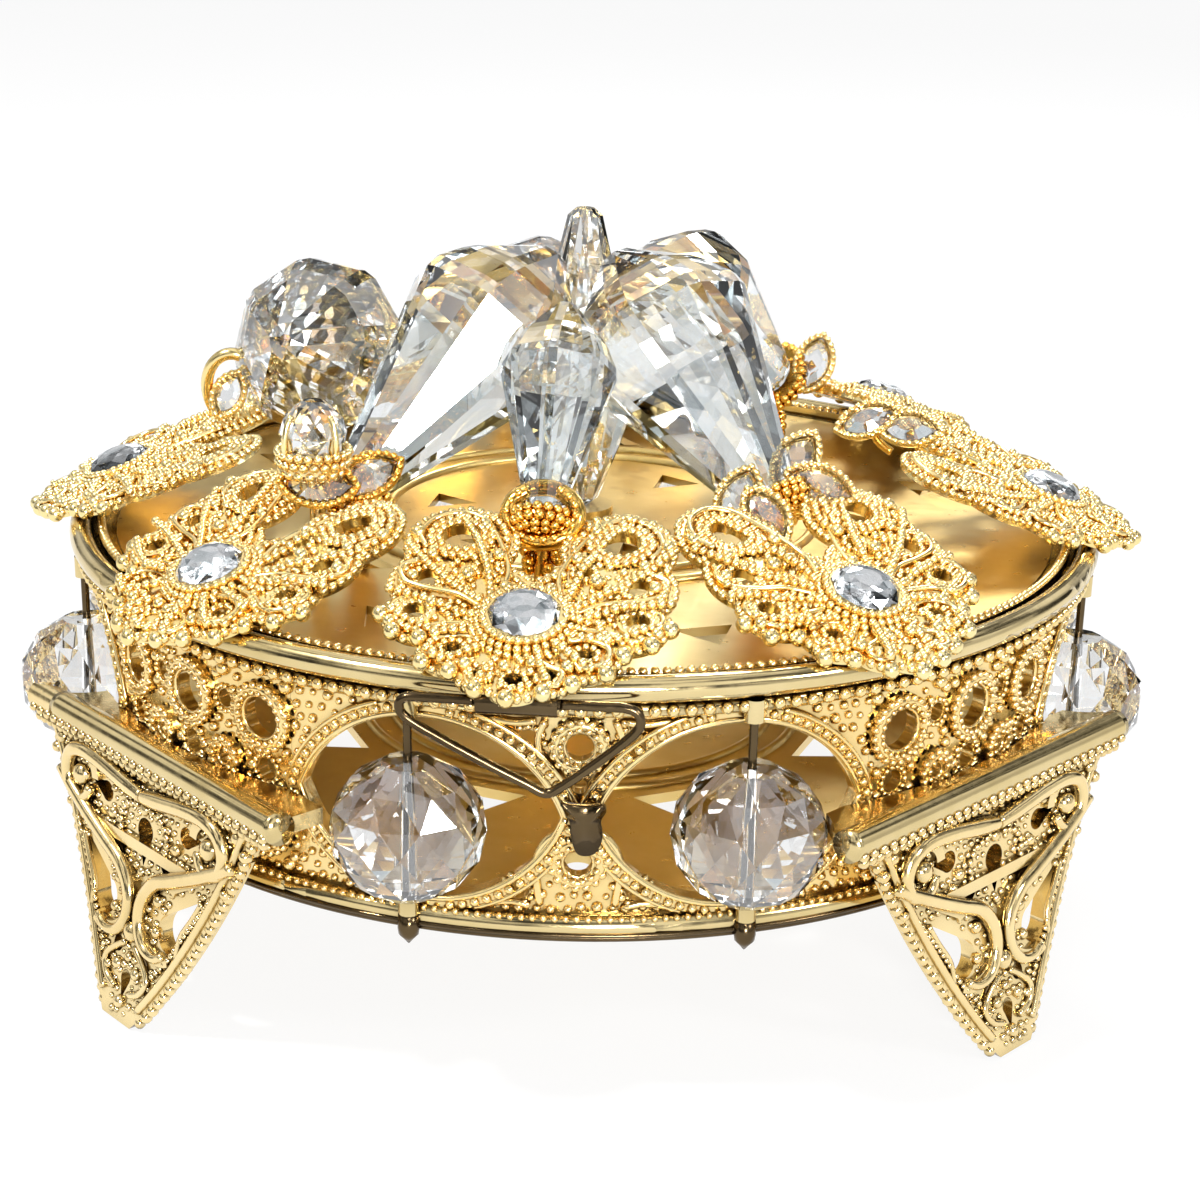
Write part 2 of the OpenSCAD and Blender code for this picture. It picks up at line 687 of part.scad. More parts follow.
// Collar round each drop's tip with a stem down to the lid plate.
module drop_bails() {
    color(gold) for (i = [0 : 5]) {
        e = drop_tip(i);
        a = unit(e - drop_top(i));
        f = drops[i][2];
        az = atan2(a[1], a[0]);
        el = acos(a[2]);
        ri = drop_tip_r * f + 0.05;
        difference() {
            union() {
                translate(e) rotate([0, el, az]) translate([0, 0, 0.05])
                    cylinder(r = ri + collar_t, h = 1.4, $fn = 32);
                translate([e[0], e[1], lid_plate_top + 0.02])
                    cylinder(r = stem_r, h = e[2] - lid_plate_top, $fn = 32);
            }
            translate(e) rotate([0, el, az]) translate([0, 0, -9.95])
                cylinder(r = ri + collar_t + 3, h = 10, $fn = 32);
        }
    }
}

// Ball rhinestone in a pronged cup above the front-left drop's tip.
cup_pos = [ring_R - 18.6, -45.1, 13.2];
stem_pos = [ring_R - 19.2, -45.4];
module stone_cup() {
    p = polar([cup_pos[0], cup_pos[1], cup_pos[2] + lid_plate_top]);
    color(gold) translate(p) {
        difference() {
            cylinder(r = 3.7, h = 2.2);
            translate([0, 0, 3.4]) sphere(r = 3.35);
        }
        for (k = [0 : 3]) rotate([0, 0, 90 * k + 45]) translate([3.2, 0, 0])
            cylinder(r = 0.45, h = 3.9, $fn = 24);
        translate(polar([stem_pos[0], stem_pos[1], lid_plate_top + 0.02]) - p)
            cylinder(r = stem_r, h = p[2] - lid_plate_top + 0.4, $fn = 24);
    }
}

module cup_stone() {
    p = polar([cup_pos[0], cup_pos[1], cup_pos[2] + lid_plate_top]);
    color(clear) translate(p) intersection() {
        translate([0, 0, 3.4]) sphere(r = 2.72);
        translate([0, 0, 0.9]) cylinder(r = 4, h = 4.8);
    }
}

// ---- latch ---------------------------------------------------------------

module latch_frame() {
    rotate([0, 0, latch_ang]) translate([0, -latch_y, latch_z]) children();
}

module latch_tube() {
    color(dark) difference() {
        union() {
            latch_frame() rotate([0, 90, 0]) cylinder(r = bail_r + 0.75, h = 8, center = true, $fn = 32);
            latch_frame() translate([-3.4, 0, -1.1]) cube([6.8, 3.2, 1.5]);
        }
        latch_frame() rotate([0, 90, 0]) cylinder(r = bail_r + 0.06, h = 20, center = true, $fn = 32);
        lid_ring_solid(eps);
    }
}

// Closed loop of round wire through flat points, bent to radius rc at each;
// the points run clockwise.
function corner(p, a, b) = acos(unit(p - a) * unit(b - p));
module bent_wire(pts, rc, r) {
    n = len(pts);
    for (i = [0 : n - 1]) {
        p = pts[i];
        a = pts[(i + n - 1) % n];
        b = pts[(i + 1) % n];
        c = pts[(i + 2) % n];
        d1 = unit(p - a);
        d2 = unit(b - p);
        turn = corner(p, a, b);
        t = rc * tan(turn / 2);
        t_next = rc * tan(corner(b, p, c) / 2);
        mid = p - t * d1 + rc * [d1[1], -d1[0]];
        go = p + t * d2;
        translate(mid) rotate([0, 0, atan2(go[1] - mid[1], go[0] - mid[0])])
            rotate_extrude(angle = turn) translate([rc, 0]) circle(r = r, $fn = 24);
        translate(go - 0.15 * d2) rotate([0, 0, atan2(d2[1], d2[0])]) rotate([0, 90, 0])
            cylinder(r = r - 0.03, h = norm(b - p) - t - t_next + 0.3, $fn = 24);
    }
}

module latch_bail() {
    color(dark) latch_frame() rotate([90, 0, 0])
        bent_wire([[-bail_half, 0], [bail_half, 0], [bail_shift, -bail_drop]], bail_bend, bail_r);
}

// Catch: a strip on the wall's crossing whose folded nose holds the bail.
module catch_tab() {
    y1 = wall_r + relief + 0.02;
    zt = latch_z - bail_drop - 1.2;
    color(dark) translate([0.6, 0, 0]) {
        translate([-catch_w / 2, -y1 - 1, zt - 6.4]) cube([catch_w, 1, 6.4]);
        translate([-catch_w / 2, -y1 - 3.4, zt - 2.2]) cube([catch_w, 3, 1]);
        translate([-catch_w / 2 - 0.6, -y1 - 4.2, zt - 2.2]) cube([catch_w, 0.9, 2.0]);
    }
}

base_plate();
bottom_rim();
top_rim();
window_panel(0);  // wall_panel_front
window_panel(90);  // wall_panel_right
window_panel(180);  // wall_panel_back
window_panel(-90);  // wall_panel_left
corner_filigree(45);  // corner_filigree_front_right
corner_filigree(135);  // corner_filigree_back_right
corner_filigree(-135);  // corner_filigree_back_left
corner_filigree(-45);  // corner_filigree_front_left
foot(-45, foot_skew);  // foot_front_left
foot(45, 0);  // foot_front_right
foot(-135, 0);  // foot_back_left
foot(135, 0);  // foot_back_right
bead_pins();
crystal_bead(0, -1);  // crystal_bead_front_left
crystal_bead(0, 1);  // crystal_bead_front_right
crystal_bead(1, -1);  // crystal_bead_right_front
crystal_bead(1, 1);  // crystal_bead_right_back
crystal_bead(2, -1);  // crystal_bead_back_right
crystal_bead(2, 1);  // crystal_bead_back_left
crystal_bead(3, -1);  // crystal_bead_left_back
crystal_bead(3, 1);  // crystal_bead_left_front
catch_tab();
hinge_leaf_body();
hinge_pin();
hinge_leaf_lid();
lid_ring();
lid_plate();
filigree_bow(0);  // filigree_bow_front
filigree_bow(1);  // filigree_bow_front_left
filigree_bow(2);  // filigree_bow_front_right
filigree_bow(3);  // filigree_bow_right
filigree_bow(4);  // filigree_bow_left
filigree_bow(5);  // filigree_bow_back_right
filigree_bow(6);  // filigree_bow_back_left
filigree_bow(7);  // filigree_bow_back
stone_bezels();
rhinestones();
crystal_drop(0);  // crystal_drop_front_left
crystal_drop(1);  // crystal_drop_front_right
crystal_drop(2);  // crystal_drop_front
crystal_drop(3);  // crystal_drop_back_right
crystal_drop(4);  // crystal_drop_left
crystal_drop(5);  // crystal_drop_back
crystal_finial();
drop_bails();
stone_cup();
cup_stone();
latch_tube();
latch_bail();
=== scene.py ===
import math

import bmesh
import bpy
import numpy as np
from mathutils import Matrix, Vector


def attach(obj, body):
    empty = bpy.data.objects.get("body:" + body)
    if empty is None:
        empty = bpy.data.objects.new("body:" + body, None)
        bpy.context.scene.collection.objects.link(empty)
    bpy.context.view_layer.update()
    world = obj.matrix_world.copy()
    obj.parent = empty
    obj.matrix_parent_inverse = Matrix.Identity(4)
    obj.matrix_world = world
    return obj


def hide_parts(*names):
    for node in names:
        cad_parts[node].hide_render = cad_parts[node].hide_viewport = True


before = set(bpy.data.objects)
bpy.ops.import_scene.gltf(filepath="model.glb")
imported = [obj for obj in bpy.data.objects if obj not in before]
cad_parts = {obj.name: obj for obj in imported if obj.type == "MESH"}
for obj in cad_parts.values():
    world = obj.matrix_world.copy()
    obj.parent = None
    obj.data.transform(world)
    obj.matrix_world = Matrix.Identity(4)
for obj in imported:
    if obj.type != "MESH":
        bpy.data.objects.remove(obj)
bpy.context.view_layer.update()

MM = 0.001
rng = np.random.default_rng(7)

# ---- sizes of the casket, in millimetres and degrees
# wall: radius of its face, lower and upper edge, and how far its bands stand out
WALL_R = 58.5
WALL_Z, WALL_TOP = 20.6, 42.4
WALL_MID = (WALL_Z + WALL_TOP) / 2
RELIEF = 0.7
ARC = math.radians(1) * WALL_R
# pointed windows: angle from the middle of a panel, width and height
WIN_ANG, WIN_W, WIN_H = 15.2, 27.6, 19.6
PANEL_HALF = 30.5
CORNER_HALF = 45 - PANEL_HALF - 0.03
# rims, lid ring and lid plate
RIM_OR = 60.1
BASE_Z = 18.2
LID_Z = 44.35
RING_R, RING_Z, ROLL_R = 60.1, 45.75, 1.4
PLATE_TOP = 45.55
# feet: radius at the lip and at the tip, height of the lip, half widths, bend of the leaf
LIP_R, TIP_R, LIP_Z, LIP_HALF, TIP_HALF = 62.6, 68.0, 30.6, 24.0, 2.8
LIP_ROLL = 1.7
ROLL_Y, ROLL_Z = -LIP_R + LIP_ROLL - 0.9, LIP_Z - 1.0
RHO = ((TIP_R - LIP_R) ** 2 + LIP_Z ** 2) / (2 * (TIP_R - LIP_R))
FEET = [("front_left", -45, -3), ("front_right", 45, 0), ("back_left", -135, 0), ("back_right", 135, 0)]
# beads: radius of their circle, and angle from the middle of a panel
BEAD_CR, BEAD_ANG = 60.2, 16.6
# bows: radius, tilt and thickness, then name, angle and shift towards the middle
BOW_R, BOW_TILT, BOW_T = 54.0, 20.0, 1.0
BOW_Z = RING_Z + (ROLL_R + 0.06 + BOW_T / 2) / math.cos(math.radians(BOW_TILT)) \
    + (RING_R - BOW_R) * math.tan(math.radians(BOW_TILT))
BOWS = [("front", -6, -0.6), ("front_left", -44, -1.8), ("front_right", 32, 0.2), ("right", 83.5, -1),
        ("left", -88.5, -1.7), ("back_right", 133, -0.4), ("back_left", -143, -2.4), ("back", 178.5, 2.6)]
STONE_R = 3.5
# long crystals: radius and length of the middle one, radius of a drop's tip
FIN_R, FIN_LEN, DROP_TIP_R = 7.4, 36.0, 3.4
# cup of the ball stone: radius, angle and height over the lid plate
CUP = (RING_R - 18.6, -45.1, 13.2)


# ---- mesh building
class Shape:
    """Vertices and faces gathered for one piece, in millimetres."""

    def __init__(self):
        self.verts, self.quads, self.tris, self.count = [], [], [], 0

    def add(self, verts, quads=None, tris=None):
        verts = np.asarray(verts, float).reshape(-1, 3)
        if quads is not None and len(quads):
            self.quads.append(np.asarray(quads, int).reshape(-1, 4) + self.count)
        if tris is not None and len(tris):
            self.tris.append(np.asarray(tris, int).reshape(-1, 3) + self.count)
        self.verts.append(verts)
        self.count += len(verts)

    def mesh(self, name, smooth=True):
        verts = np.concatenate(self.verts) * MM
        quads = np.concatenate(self.quads) if self.quads else np.zeros((0, 4), int)
        tris = np.concatenate(self.tris) if self.tris else np.zeros((0, 3), int)
        me = bpy.data.meshes.new(name)
        me.vertices.add(len(verts))
        me.vertices.foreach_set("co", verts.ravel())
        loops = np.concatenate([quads.ravel(), tris.ravel()])
        me.loops.add(len(loops))
        me.loops.foreach_set("vertex_index", loops)
        starts = np.concatenate([np.arange(len(quads)) * 4, len(quads) * 4 + np.arange(len(tris)) * 3])
        me.polygons.add(len(starts))
        me.polygons.foreach_set("loop_start", starts)
        me.polygons.foreach_set("use_smooth", np.full(len(starts), smooth))
        me.update(calc_edges=True)
        me.validate()
        return me


def unit(v):
    """Vectors cut to length one."""
    v = np.asarray(v, float)
    return v / np.maximum(np.linalg.norm(v, axis=-1, keepdims=True), 1e-12)


def frames(normals):
    """Two unit vectors across each normal."""
    n = unit(normals)
    ref = np.where(np.abs(n[:, 2:3]) > 0.9, [[1.0, 0, 0]], [[0, 0, 1.0]])
    a = unit(np.cross(ref, n))
    return a, np.cross(n, a), n


def bands(rows, sides, closed=False, first=0):
    """Faces between rows of points, each a ring of sides points."""
    i = np.arange(rows if closed else rows - 1)[:, None]
    k, k2 = np.arange(sides), (np.arange(sides) + 1) % sides
    low, high = first + i * sides, first + (i + 1) % rows * sides
    return np.stack([low + k, low + k2, high + k2, high + k], -1).reshape(-1, 4)


def fan(tip, ring):
    """Triangles from a tip to a ring of points."""
    return np.stack([np.full(len(ring), tip), ring, np.roll(ring, -1)], 1)


def level_ring(r, h, sides, turn=0.0):
    """Ring of points round the upright axis, turned by a share of a side."""
    t = 2 * math.pi * (np.arange(sides) + turn) / sides
    return np.stack([r * np.cos(t), r * np.sin(t), np.full(sides, h)], 1)


def turned_solid(rows, sides):
    """Template of revolution: rows of (radius, height), first row open, last row a point."""
    rings = [level_ring(r, h, sides) for r, h in rows[:-1]]
    verts = np.concatenate([*rings, [[0, 0, rows[-1][1]]]])
    top = len(verts) - 1
    return verts, bands(len(rings), sides), fan(top, np.arange(top - sides, top))


DOME = turned_solid([(1.0, -0.45), (1.0, 0.1), (0.72, 0.7), (0, 1.0)], 8)
GRAIN = turned_solid([(1.0, -0.35), (0.86, 0.5), (0, 1.0)], 6)
FINE_DOME = turned_solid([(0.95, -0.4), (1.0, 0.1), (0.72, 0.7), (0, 1.0)], 10)


def domes(shape, points, normals, radius, template=DOME):
    """Granules: one low dome at each point, standing along its normal."""
    points = np.asarray(points, float).reshape(-1, 3)
    if not len(points):
        return
    a, b, n = frames(np.asarray(normals, float).reshape(-1, 3))
    r = np.broadcast_to(np.asarray(radius, float), (len(points),)).reshape(-1, 1, 1)
    v, q, t = template
    out = points[:, None, :] + r * (v[None, :, 0:1] * a[:, None, :] + v[None, :, 1:2] * b[:, None, :]
                                    + v[None, :, 2:3] * n[:, None, :])
    shift = (np.arange(len(points)) * len(v))[:, None, None]
    shape.add(out.reshape(-1, 3), (q[None] + shift).reshape(-1, 4), (t[None] + shift).reshape(-1, 3))


def round_ball(sides, rows):
    """Template of a whole round ball."""
    slopes = [math.pi * (i / rows - 0.5) for i in range(1, rows)]
    rings = [level_ring(math.cos(e), math.sin(e), sides) for e in slopes]
    verts = np.concatenate([[[0, 0, -1]], *rings, [[0, 0, 1]]])
    top = len(verts) - 1
    caps = np.concatenate([fan(0, np.arange(sides, 0, -1)), fan(top, np.arange(top - sides, top))])
    return verts, bands(rows - 1, sides, first=1), caps


def spheres(shape, points, radius, sides=10, rows=6):
    """Whole round balls, one at each point."""
    points = np.atleast_2d(points)
    verts, quads, tris = round_ball(sides, rows)
    for p, r in zip(points, np.broadcast_to(radius, (len(points),))):
        shape.add(verts * r + p, quads, tris)


def tube(shape, path, radius, side=None, sides=8, closed=False, flat=1.0):
    """Round wire along a path; side gives the surface normal it lies on, flat squashes it along that."""
    path = np.asarray(path, float)
    n = len(path)
    if closed:
        tangent = unit(np.roll(path, -1, 0) - np.roll(path, 1, 0))
    else:
        tangent = unit(np.gradient(path, axis=0))
    if side is None:
        a, b, _ = frames(tangent)
        for i in range(1, n):
            v = a[i - 1] - tangent[i] * (a[i - 1] @ tangent[i])
            a[i] = v / max(np.linalg.norm(v), 1e-9)
            b[i] = np.cross(tangent[i], a[i])
    else:
        b = unit(side - tangent * np.sum(side * tangent, axis=1, keepdims=True))
        a = np.cross(b, tangent)
    r = np.broadcast_to(np.asarray(radius, float), (n,)).reshape(-1, 1, 1)
    t = 2 * np.pi * np.arange(sides) / sides
    ring = path[:, None, :] + r * (np.cos(t)[None, :, None] * a[:, None, :]
                                   + flat * np.sin(t)[None, :, None] * b[:, None, :])
    verts, caps = ring.reshape(-1, 3), None
    if not closed:
        end = n * sides
        verts = np.concatenate([verts, path[:1], path[-1:]])
        caps = np.concatenate([fan(end, np.arange(sides)[::-1]), fan(end + 1, np.arange(end - sides, end))])
    shape.add(verts, bands(n, sides, closed), caps)


def curve(points, step, closed=False):
    """Smooth curve through flat points, cut into even steps."""
    p = np.asarray(points, float)
    n = len(p)
    out = []
    for i in range(n if closed else n - 1):
        p0 = p[(i - 1) % n] if closed or i > 0 else 2 * p[0] - p[1]
        p1, p2 = p[i], p[(i + 1) % n]
        p3 = p[(i + 2) % n] if closed or i + 2 < n else 2 * p[-1] - p[-2]
        t = np.linspace(0, 1, 24, endpoint=False)[:, None]
        out.append(0.5 * (2 * p1 + (p2 - p0) * t + (2 * p0 - 5 * p1 + 4 * p2 - p3) * t ** 2
                          + (3 * p1 - p0 - 3 * p2 + p3) * t ** 3))
    out = np.concatenate(out + [p[:1] if closed else p[-1:]])
    return even(out, step, closed)


def even(line, step, closed=False):
    """The same line, cut into even steps."""
    line = np.asarray(line, float)
    d = np.concatenate([[0], np.cumsum(np.linalg.norm(np.diff(line, axis=0), axis=1))])
    count = max(int(round(d[-1] / step)), 2)
    at = np.linspace(0, d[-1], count + 1)
    if closed:
        at = at[:-1]
    return np.stack([np.interp(at, d, line[:, i]) for i in range(line.shape[1])], 1)


def circle(x, y, r, count=64, start=0.0):
    """Flat circle; start turns its first point, in radians."""
    t = np.linspace(0, 2 * math.pi, count, endpoint=False) + start
    return np.stack([x + r * np.cos(t), y + r * np.sin(t)], 1)


def vesica(w, h):
    """Pointed oval, closed line starting at its right point."""
    rr = (w * w + h * h) / (4 * h)
    half = math.asin(w / 2 / rr)
    t = np.linspace(-half, half, 60)
    top = np.stack([rr * np.sin(-t), rr * np.cos(t) - (rr - h / 2)], 1)
    return np.concatenate([top[:-1], -top[:-1], top[:1]])


def round_the_axis(count):
    """Level unit vectors all round the upright axis, from the front on."""
    t = np.arange(count) * 2 * math.pi / count
    return np.stack([np.sin(t), -np.cos(t), np.zeros(count)], 1)


def turned(angle):
    """Matrix of a turn about the upright axis by an angle in degrees."""
    a = math.radians(angle)
    return np.array([[math.cos(a), -math.sin(a), 0], [math.sin(a), math.cos(a), 0], [0, 0, 1]])


# ---- surfaces that ornament lies on: flat points and a height to space
def column(h, count):
    """One height, or one for each point, as a column."""
    return np.reshape(h, (-1, 1)) * np.ones((count, 1))


def wall_surface(angle, along=True):
    """Wall whose x is the length along it, or else is measured straight across, as a window is cut."""
    def place(p, h):
        x, z = np.asarray(p, float).T
        a = math.radians(angle) + (x / WALL_R if along else np.arcsin(np.clip(x / WALL_R, -1, 1)))
        n = np.stack([np.sin(a), -np.cos(a), np.zeros_like(a)], 1)
        pos = n * (WALL_R + column(h, len(a)))
        pos[:, 2] = z
        return pos, n
    return place


def leaf_surface(angle):
    """Front of a foot's leaf, which bends outwards from the lip down to the tip."""
    rot = turned(angle)

    def place(p, h):
        p = np.asarray(p, float)
        drop = np.clip(LIP_Z - p[:, 1], -2, LIP_Z)
        phi = np.arcsin(drop / RHO)
        n = np.stack([np.zeros_like(phi), -np.cos(phi), np.sin(phi)], 1)
        pos = np.stack([p[:, 0], -(LIP_R + RHO) + RHO * np.cos(phi), LIP_Z - RHO * np.sin(phi)], 1)
        pos = pos + n * column(h, len(p))
        return pos @ rot.T, n @ rot.T
    return place


def bow_surface(angle, inset):
    """Middle plane of a tilted bow; inset moves it towards the middle of the lid."""
    rz, t = turned(angle), math.radians(BOW_TILT)
    rx = np.array([[1, 0, 0], [0, math.cos(t), -math.sin(t)], [0, math.sin(t), math.cos(t)]])
    at = np.array([0, -BOW_R + inset, BOW_Z + inset * math.tan(t)])

    def place(p, h):
        p = np.asarray(p, float)
        q = np.concatenate([p, column(h, len(p))], 1)
        n = np.tile(rz @ rx @ np.array([0, 0, 1.0]), (len(p), 1))
        return (q @ rx.T + at) @ rz.T, n
    return place


def domes_on(shape, surf, points, height, radius, template=DOME):
    """Granules at points of a surface."""
    pos, n = surf(points, height)
    domes(shape, pos, n, radius, template)


def spheres_on(shape, surf, points, height, radius, sides=10, rows=6):
    """Whole balls at points of a surface."""
    pos, _ = surf(points, height)
    spheres(shape, pos, radius, sides, rows)


def beads_on(shape, surf, line, pitch, radius, height, closed=False, template=DOME):
    """Row of granules along a line on a surface."""
    domes_on(shape, surf, even(line, pitch, closed), height, radius, template)


def wire_on(shape, surf, points, radius, height, closed=False, step=0.5, sides=8, taper=None, flat=1.0,
            smooth=True):
    """Wire along a line on a surface; taper lists shares of its radius from end to end."""
    pts = curve(points, step, closed) if smooth else even(points, step, closed)
    pos, n = surf(pts, height)
    if taper is not None:
        s = np.linspace(0, 1, len(pts))
        radius = radius * np.interp(s, np.linspace(0, 1, len(taper)), taper)
    tube(shape, pos, radius, n, sides, closed, flat)


def granules_fill(width, low, high, gap, keep):
    """Jittered triangular grid of points over a strip, thinned by keep."""
    rise = gap * 0.87
    rows = int((high - low) / rise) + 1
    cols = int(width / gap) + 1
    out = []
    for i in range(rows):
        x = -width / 2 + (np.arange(cols) + 0.5 * (i % 2)) * gap
        out.append(np.stack([x, np.full(cols, low + i * rise)], 1))
    p = np.concatenate(out) + rng.uniform(-0.14 * gap, 0.14 * gap, (rows * cols, 2))
    return p[keep(p)]


def sided(points, m):
    """Flat points, mirrored left to right where m is -1."""
    return np.asarray(points, float) * [m, 1]


def outside_of(holes, gap):
    """Test that keeps points further than gap from every round hole."""
    def keep(p):
        ok = np.ones(len(p), bool)
        for x, z, r in holes:
            ok &= np.hypot(p[:, 0] - x, p[:, 1] - z) > r + gap
        return ok
    return keep


# ---- materials
BUMP_DEPTH = 0.12 * MM


def feed(nt, node, inputs):
    """Gives a node its inputs, each a socket to link or a value."""
    for key, value in inputs.items():
        if isinstance(value, bpy.types.NodeSocket):
            nt.links.new(value, node.inputs[key])
        else:
            node.inputs[key].default_value = value


def add_node(nt, kind, inputs, **settings):
    """Shader node of a kind, with its settings and inputs."""
    node = nt.nodes.new("ShaderNode" + kind)
    for key, value in settings.items():
        setattr(node, key, value)
    feed(nt, node, inputs)
    return node


def new_material(name):
    """Material, its node tree and its main shader."""
    mat = bpy.data.materials.new(name)
    mat.use_nodes = True
    return mat, mat.node_tree, mat.node_tree.nodes["Principled BSDF"]


def put_out(nt, share, first, second):
    """Sends out the first shader with a share of the second."""
    blend = add_node(nt, "MixShader", {"Fac": share, 1: first.outputs[0], 2: second.outputs[0]})
    feed(nt, nt.nodes["Material Output"], {"Surface": blend.outputs[0]})


def object_coords(nt, stretch=(1, 1, 1)):
    """Place on the object, stretched along its axes."""
    place = add_node(nt, "TexCoord", {}).outputs["Object"]
    return add_node(nt, "Mapping", {"Vector": place, "Scale": stretch}).outputs["Vector"]


def noise(nt, vector, scale, detail, rough):
    """Cloudy pattern; a larger scale makes it finer."""
    inputs = {"Vector": vector, "Scale": scale, "Detail": detail, "Roughness": rough}
    return add_node(nt, "TexNoise", inputs).outputs["Fac"]


def ramp(nt, fac, stops):
    """Colour or grey that runs through stops of (position, value)."""
    colours = add_node(nt, "ValToRGB", {"Fac": fac})
    marks = colours.color_ramp.elements
    while len(marks) < len(stops):
        marks.new(0.5)
    for mark, (position, value) in zip(marks, stops):
        mark.position = position
        mark.color = (*(value if isinstance(value, tuple) else (value,) * 3), 1)
    return colours.outputs["Color"]


def colour_mix(nt, a, b, fac, blend="MIX"):
    """Mix of two colours, each a socket or a value."""
    mix = add_node(nt, "Mix", {"Factor": fac, "A": a, "B": b}, data_type="RGBA", blend_type=blend)
    return mix.outputs["Result"]


def metal(name, light, dark, painted_shade_colour, rough, ao=1.0, bump=0.25, bump_scale=900, grain=(1, 1, 1)):
    """Gilt metal: its tone drifts, hollows within ao mm are browner as painted shade, and the skin is finely
    uneven.
    """
    mat, nt, bsdf = new_material(name)
    tone = ramp(nt, noise(nt, object_coords(nt), 55, 4, 0.6), [(0.32, dark), (0.68, light)])
    # painted shade: ambient occlusion turns hemmed-in hollows towards the darker shade colour
    near = add_node(nt, "AmbientOcclusion", {"Distance": ao * MM}, samples=4).outputs["AO"]
    painted_shade_share = ramp(nt, near, [(0.25, 1.0), (0.85, 0.0)])
    place = object_coords(nt, grain)
    gloss = ramp(nt, noise(nt, place, 420, 3, 0.6), [(0.3, rough[0]), (0.7, rough[1])])
    skin = noise(nt, place, bump_scale, 2, 0.5)
    bumped = add_node(nt, "Bump", {"Strength": bump, "Distance": BUMP_DEPTH, "Height": skin})
    feed(nt, bsdf, {"Base Color": colour_mix(nt, tone, (*painted_shade_colour, 1), painted_shade_share), "Metallic": 1.0,
                    "Roughness": gloss, "Normal": bumped.outputs["Normal"]})
    return mat


def crystal(name, ior, glint, cool=(0.91, 0.97, 0.985)):
    """Cut glass with a faint cool drift of tone; glint is the share that the facets mirror."""
    mat, nt, bsdf = new_material(name)
    place = object_coords(nt)
    tone = ramp(nt, noise(nt, place, 45, 2, 0.5), [(0.35, cool), (0.65, (1.0, 1.0, 1.0))])
    gloss = ramp(nt, noise(nt, place, 160, 2, 0.5), [(0.45, 0.0), (0.8, 0.03)])
    feed(nt, bsdf, {"Transmission Weight": 1.0, "IOR": ior, "Base Color": tone, "Roughness": gloss})
    mirror = add_node(nt, "BsdfAnisotropic", {"Color": (0.96, 0.98, 1.0, 1), "Roughness": 0.02})
    put_out(nt, glint, bsdf, mirror)
    return mat


# the third colour of each metal is the painted shade of its hollows
GOLD = metal("filigree_gilt", (1.0, 0.81, 0.42), (0.95, 0.68, 0.27), (0.42, 0.28, 0.10),
             rough=(0.08, 0.22))
FOOT_GOLD = metal("cast_gilt", (1.0, 0.81, 0.44), (0.88, 0.66, 0.30), (0.17, 0.12, 0.05),
                  rough=(0.08, 0.22), ao=2.0)
BOW_GOLD = metal("granulated_gilt", (1.0, 0.86, 0.46), (1.0, 0.75, 0.30), (0.74, 0.46, 0.13),
                 rough=(0.12, 0.28), ao=0.7)
RING_GOLD = metal("rolled_gilt", (0.86, 0.70, 0.38), (0.68, 0.53, 0.24), (0.24, 0.17, 0.07),
                  rough=(0.08, 0.20), ao=2.5, bump=0.15, bump_scale=500)
PLATE_GOLD = metal("plate_gilt", (0.88, 0.67, 0.29), (0.74, 0.52, 0.17), (0.36, 0.23, 0.06),
                   rough=(0.27, 0.33), ao=3.0, bump=0.5, bump_scale=55, grain=(1, 1.4, 1))
DEEP_GOLD = metal("collar_gilt", (1.0, 0.70, 0.20), (0.95, 0.54, 0.09), (0.52, 0.24, 0.03),
                  rough=(0.10, 0.22))
BRONZE = metal("dark_wire", (0.17, 0.12, 0.06), (0.075, 0.05, 0.025), (0.02, 0.012, 0.006),
               rough=(0.12, 0.26))
CRYSTAL = crystal("cut_crystal", ior=1.45, glint=0.20)
BEAD_CRYSTAL = crystal("bead_crystal", ior=1.37, glint=0.17, cool=(0.98, 0.99, 0.995))
STONE = crystal("stone_crystal", ior=1.5, glint=0.22, cool=(1.0, 1.0, 1.0))
FOIL = metal("stone_foil", (1.0, 1.0, 1.0), (0.90, 0.90, 0.91), (0.62, 0.62, 0.63),
             rough=(0.02, 0.08), ao=0.3, bump=0.05)


def piece(shape, name, material, body, smooth=True):
    """Gathered faces as an object that rides a body."""
    me = shape.mesh(name, smooth)
    me.materials.append(material)
    ob = bpy.data.objects.new(name, me)
    bpy.context.scene.collection.objects.link(ob)
    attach(ob, body)
    return ob


# ---- CAD nodes: better materials, by how the node's name starts
LOOKS = [("crystal_bead", BEAD_CRYSTAL), ("crystal_", CRYSTAL), ("rhinestones", STONE), ("cup_stone", STONE),
         ("base_plate", PLATE_GOLD), ("lid_plate", PLATE_GOLD), ("lid_ring", RING_GOLD),
         ("top_rim", RING_GOLD), ("bottom_rim", RING_GOLD), ("drop_bails", DEEP_GOLD),
         ("filigree_bow", BOW_GOLD), ("stone_bezels", BOW_GOLD), ("latch_", BRONZE), ("catch_tab", BRONZE),
         ("bead_pins", BRONZE), ("foot_", FOOT_GOLD), ("", GOLD)]
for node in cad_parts:
    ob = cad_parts[node]
    ob.data.materials.clear()
    ob.data.materials.append(next(look for start, look in LOOKS if node.startswith(start)))


# ---- wall: beaded bands, rings and granules
def rosette(shape, surf, x, z, outer, width):
    """Rounded ring with beads on its outer and inner shoulders and a fine collar in its bore."""
    wire_on(shape, surf, circle(x, z, outer - width / 2, 48), width / 2 - 0.06, RELIEF - 0.1, True,
            smooth=False, flat=0.8)
    beads_on(shape, surf, circle(x, z, outer - 0.16), 1.06, 0.47, RELIEF - 0.05, True)
    beads_on(shape, surf, circle(x, z, outer - width + 0.3, start=0.2), 0.92, 0.38, RELIEF + 0.2, True)
    wire_on(shape, surf, circle(x, z, outer - width - 0.05, 36), 0.28, RELIEF - 0.3, True)


